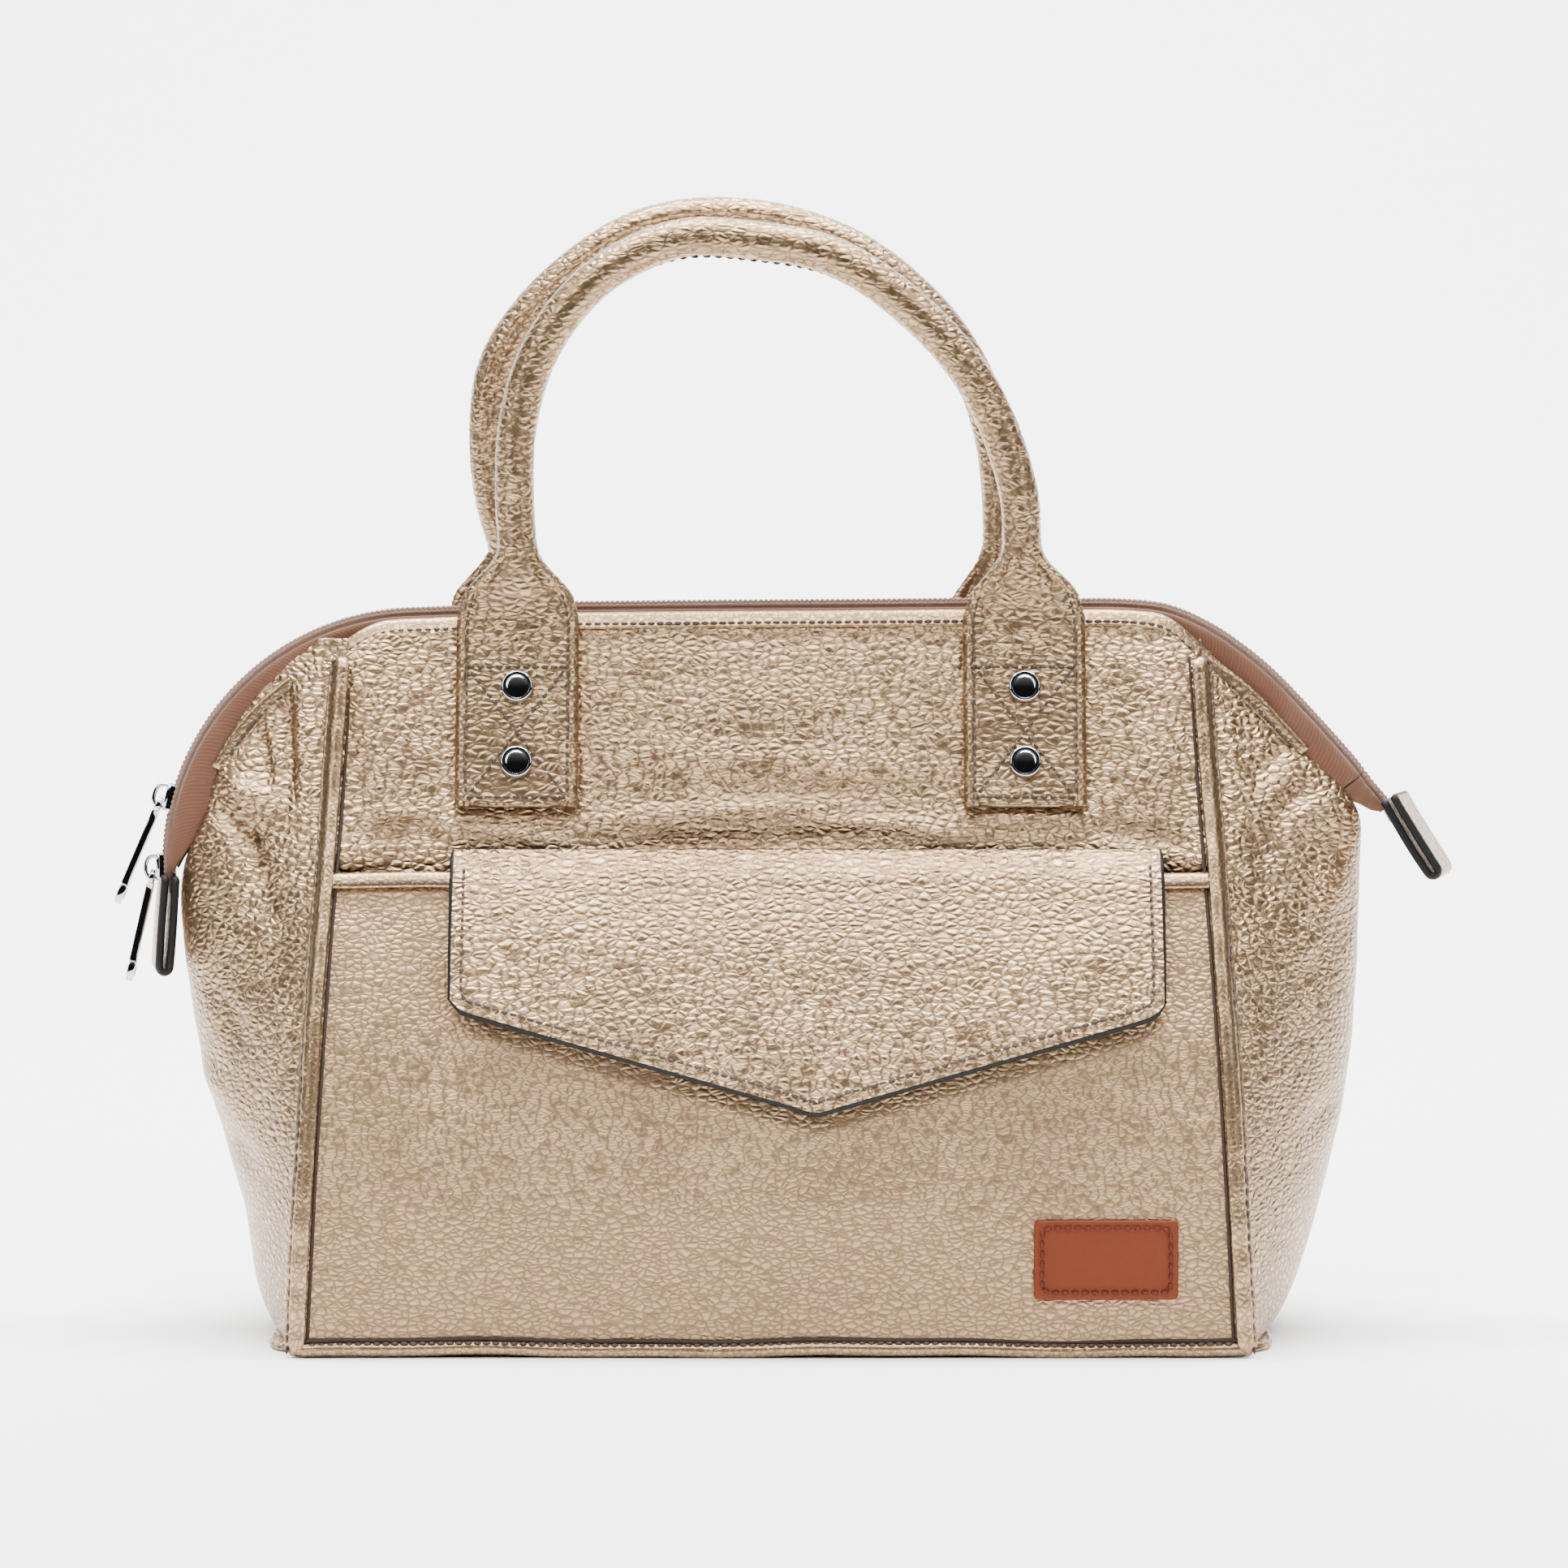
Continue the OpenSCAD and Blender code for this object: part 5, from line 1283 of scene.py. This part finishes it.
class BAG_OT_mouth(bpy.types.Operator):
    """Trim, facing, tape and coil of both mouth halves, and the zip's end down the left side.
    Each is a rounded section carried along the zip's line; the coils swell once a turn"""
    bl_idname = "bag.mouth"
    bl_label = "Mouth and zip"

    def execute(self, context):
        x, z = MOUTH_LINE.T
        trimmed = MOUTH_LINE[((x > -100) | (z > 169)) & ((x < 100) | (z > 175.5))]
        trim = swept_trim(trimmed, facing_h(trimmed))
        offset, lean = facing_h(trimmed) + 3.6, trim_lean(trimmed)
        seam = stitches(beside(trimmed, offset - 0.2, 8.75 + 0.72 * lean)[2:-2], (0, -1, 0.3), sizes())
        # A thin dark bar under the trim: painted shade below its lower edge
        under = strip(trimmed, [(offset + 1.5 + o, 7.4 + 0.972 * lean + y)
                                for o, y in pillow(-0.4, 0.4, -0.6, 0.6, 8)])
        tail = even(arc(*TAIL), 1.5)
        line, low = np.vstack([tail, MOUTH_LINE]), len(tail)
        x = line[:, 0]
        end = step(x, 150, 160) + step(-x, 161, 168)
        wide = 2.4 + (facing_h(line) + 0.2 + end * (2.4 + 1.8 * (x < 0))) * (1 - 0.25 * step(x, 168, 174))
        wide[:low] = np.interp(np.linspace(0, 1, low), (0, 0.2, 0.45, 0.7, 1), (2.8, 6, 10.6, 13.2, 13.6))
        puff = 6.7 + 0.9 * end
        puff[:low] = np.linspace(5.4, puff[low], low)
        zip_parts = (("facing", facing(line, wide, puff), MOUTH_FOLD, "twill"),
                     ("tape", band(line, 2.0, 2.6, 0.6, 5.6), ZIP_FOLD, "tape"),
                     ("coil", chain(line, sizes()), ZIP_FOLD, "coil"))
        for back in (False, True):
            word = prefix(back)
            for name, item, surface, replaced in (("trim", trim, "thin", (word + "_trim",)),
                                                  ("trim_thread", seam, "thread", ()),
                                                  ("trim_seam", under, "raw_edge_and_shade", ())):
                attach(dress(f"{word}_{name}", item, surface, replaced, back), mouth_body(back))
            for name, item, turn, surface in zip_parts:
                replaced = (f"{word}_{name}", f"tail_{name}_left")
                piece = dress(f"{word}_zip_{name}", item, surface, replaced, back)
                bend(piece)
        end_tape = band(arc(*BARE_TAPE), 2.0, 2.6, -5.4, 5.4)
        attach(dress("left_end_tape", end_tape, "tape"), "bag_body")
        inner = spline([(164.5, 158), (166.6, 154), (167.4, 149), (166.8, 142)], 24)
        pad = facing(inner, 3 + 4 * np.sin(np.linspace(0, math.pi, 24)), 6.6, 0.4)
        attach(dress("right_end_facing", both(pad), "twill", ("tail_facing_right",)), "bag_body")
        return {"FINISHED"}


class BAG_OT_ends(bpy.types.Operator):
    """Leather end tabs of the zip: each is one strip folded in a long U, whose cut edges are painted"""
    bl_idname = "bag.ends"
    bl_label = "Zip ends"

    def execute(self, context):
        for word, body, item, slope, base in (
                ("left", "bag_body", folded_tab((-175.2, 132.0), (-0.075, -1), 28.5), -0.17, 0),
                ("right", "right_zip_end", folded_tab((181.4, 155.2), (0.49, -0.87), 27, bow=-1.2), 0.27, -1)):
            points = item[0]
            points[:, 0] += slope * (points[:, 1] + 10) + base
            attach(dress(word + "_end_tab", item, "gold edge", ("tail_tab_" + word,)), body)
        line = spline([(174.15, 163.6), (176.3, 160.7), (178.6, 158), (181.6, 154.4), (184.5, 149.4)], 60)
        k = np.arange(47)
        wrap = facing(line[:47], np.interp(k, (0, 8, 24, 38, 46), (10.5, 9.9, 7.7, 6.2, 4.4)),
                      np.interp(k, (0, 30, 46), (7.2, 6.9, 5.4)), 2.3)
        for name, item, surface, replaced in (
                ("tape", band(line, 2.0, 2.7, -5.4, 5.4), "tape", ("tail_tape_right",)),
                ("coil", both(chain(line, sizes())), "coil", ()), ("wrap", both(wrap), "twill", ())):
            bend(dress("right_end_" + name, item, surface, replaced))
        return {"FINISHED"}


class BAG_OT_pulls(bpy.types.Operator):
    """Sliders and pulls. Plates are bevelled outlines; a bail is a wire on a smooth line"""
    bl_idname = "bag.pulls"
    bl_label = "Sliders and pulls"

    def execute(self, context):
        for word, angle, turn in PARKED:
            for kind, end, item in (("slider", "_body", slider(angle)), ("pull", "_bar", pull(angle, turn))):
                piece = dress(f"{word}_{kind}{end}", item, "nickel", (f"{kind}_{word}",))
                piece.data.set_sharp_from_angle(angle=math.radians(40))
                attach(piece, f"{word}_{kind}")
        return {"FINISHED"}


class BAG_OT_handles(bpy.types.Operator):
    """Handles with their tabs, cores and rivets. One skin runs from tab to tab: a ring of each height
    blends a circle with a raised core between flat wings"""
    bl_idname = "bag.handles"
    bl_label = "Handles"

    def execute(self, context):
        for back in (False, True):
            word = prefix(back)
            path = handle_path(back)
            item, out, across = handle_skin(path)
            thread = handle_threads(path, out, across, sizes())
            core = twisted(path[path[:, 2] > 240][::3], 3.9)
            shift = BACK_SHIFT if back else 0
            caps = joined([rivet(x - shift, z, sizes()) for x in (-HANDLE_X, HANDLE_X) for z in RIVET_Z])
            for end, shape, surface, replaced in (
                    ("leather", item, "rolled", (word + "_handle", word + "_tabs")),
                    ("thread", thread, "thread", ())):
                bend(dress(f"{word}_handle_{end}", shape, surface, replaced, back))
            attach(dress(word + "_handle_cord", core, "cotton", (word + "_handle_core",), back),
                    word + "_handle_body")
            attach(dress(word + "_rivet_caps", caps, "nickel", (word + "_rivets",), back), mouth_body(back))
        return {"FINISHED"}


class BAG_OT_lining(bpy.types.Operator):
    """Loose cloth lining in two halves that follow the shell"""
    bl_idname = "bag.lining"
    bl_label = "Lining"

    def execute(self, context):
        for back in (False, True):
            piece = dress(prefix(back) + "_lining", lining_half(back), "lining", ("lining",), back)
            fold(piece)
        floor = slab(rounded_box(139, 53, 160, 0.3, 0.3), 4.5, 5.2, 0.2)
        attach(dress("lining_floor", floor, "lining"), "bag_body")
        return {"FINISHED"}


class BAG_OT_frame(bpy.types.Operator):
    """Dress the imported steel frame, board, magnets and washers, which are kept as they are"""
    bl_idname = "bag.frame"
    bl_label = "Frame and board"

    def execute(self, context):
        kept = {"steel": ("frame_stays", "frame_pins", "front_frame", "back_frame"),
                "board": ("base_board", "front_tab_backings", "back_tab_backings"),
                "nickel": ("pocket_magnet", "flap_magnet", "front_rivet_washers", "back_rivet_washers")}
        for surface, names in kept.items():
            for name in names:
                piece = bpy.data.objects.get(name)
                if piece is None:
                    raise RuntimeError(f"{name} is not in the frame")
                for slot in piece.material_slots:
                    slot.material = skin(surface)[0]
        return {"FINISHED"}


class BAG_OT_stage(bpy.types.Operator):
    """Paper sweep, soft lights and the camera at the photograph's angle"""
    bl_idname = "bag.stage"
    bl_label = "Stage"

    def execute(self, context):
        scene = context.scene
        turn, start, radius = np.linspace(-math.pi / 2, 0, 20), 0.9, 0.8
        sweep = stacked(start + radius * np.cos(turn), radius + radius * np.sin(turn))
        line = np.vstack([[(-0.62, 0), (start, 0)], sweep, [(start + radius, 3.2)]]) / MM
        points = stacked(np.array([-4.0, 4.0]) / MM, line[:, None, 0], line[:, None, 1]).reshape(-1, 3)
        faces = quads(len(line), 2)
        dress("floor", (points, faces, points[:, :2], np.zeros(len(faces), int)), "floor")
        world = bpy.data.worlds.new("studio")
        world.use_nodes = True
        tree = world.node_tree
        way = add(tree, "ShaderNodeTexCoord").outputs["Generated"]
        height = add(tree, "ShaderNodeSeparateXYZ", {0: way}).outputs[2]
        seen = add(tree, "ShaderNodeLightPath").outputs["Is Camera Ray"]
        grade = sums(tree, "MULTIPLY_ADD", seen, 2.6, ranged(tree, height, 0.4, 0.95, 0.015, 0.4, True))
        feed(tree, tree.nodes["Background"], {"Color": rgba(linear("#F4F5F7")), "Strength": grade})
        scene.world = world
        middle = (0, 0, 0.16)
        for name, place, goal, size, power in (
                ("top", (0.0, 0.0, 2.0), middle, (1.4, 1.0), 12),
                ("strip", (0.0, -1.1, 1.85), middle, (1.6, 0.3), 40),
                ("left", (-1.35, -1.35, 1.45), middle, (0.9, 1.2), 25),
                ("right", (1.35, -1.35, 1.45), middle, (0.9, 1.2), 18),
                ("backdrop", (0.0, 0.25, 2.4), (0, 1.3, 0.3), (3.0, 0.7), 330)):
            data = bpy.data.lights.new(name, "AREA")
            data.shape, data.size, data.size_y, data.energy = "RECTANGLE", size[0], size[1], power
            light = bpy.data.objects.new(name, data)
            light.location = place
            light.rotation_euler = (Vector(goal) - Vector(place)).to_track_quat("-Z", "Y").to_euler()
            context.collection.objects.link(light)
        camera = bpy.data.objects.new("camera", bpy.data.cameras.new("camera"))
        camera.data.lens, camera.data.sensor_width = 125.2, 36
        target, rise, distance = Vector((0.00381, 0, 0.1595)), math.radians(3), 1.6
        camera.location = target + Vector((0, -math.cos(rise), math.sin(rise))) * distance
        camera.rotation_euler = (target - camera.location).to_track_quat("-Z", "Y").to_euler()
        context.collection.objects.link(camera)
        scene.camera = camera
        return {"FINISHED"}


STEPS = (BAG_OT_materials, BAG_OT_shell, BAG_OT_pipings, BAG_OT_pocket, BAG_OT_flap, BAG_OT_mouth, BAG_OT_ends,
         BAG_OT_pulls, BAG_OT_handles, BAG_OT_lining, BAG_OT_frame, BAG_OT_stage)


class BAG_PT_panel(bpy.types.Panel):
    """Sidebar with the bag's sizes, colours and steps"""
    bl_label = "Bag"
    bl_idname = "BAG_PT_panel"
    bl_space_type = "VIEW_3D"
    bl_region_type = "UI"
    bl_category = "Bag"

    def draw(self, context):
        for group in (context.scene.bag_sizes, context.scene.bag_colours):
            for key in group.__annotations__:
                self.layout.prop(group, key)
        for item in STEPS:
            self.layout.operator(item.bl_idname)


CLASSES = (BagSizes, BagColours, *STEPS, BAG_PT_panel)


def register():
    for item in CLASSES:
        bpy.utils.register_class(item)
    bpy.types.Scene.bag_sizes = bpy.props.PointerProperty(type=BagSizes)
    bpy.types.Scene.bag_colours = bpy.props.PointerProperty(type=BagColours)


def unregister():
    del bpy.types.Scene.bag_colours
    del bpy.types.Scene.bag_sizes
    for item in reversed(CLASSES):
        bpy.utils.unregister_class(item)


def main():
    """Runs every step in order."""
    register()
    for item in STEPS:
        group, name = item.bl_idname.split(".")
        if getattr(getattr(bpy.ops, group), name)() != {"FINISHED"}:
            raise RuntimeError(f"{item.bl_label} did not finish")


if __name__ == "__main__":
    main()
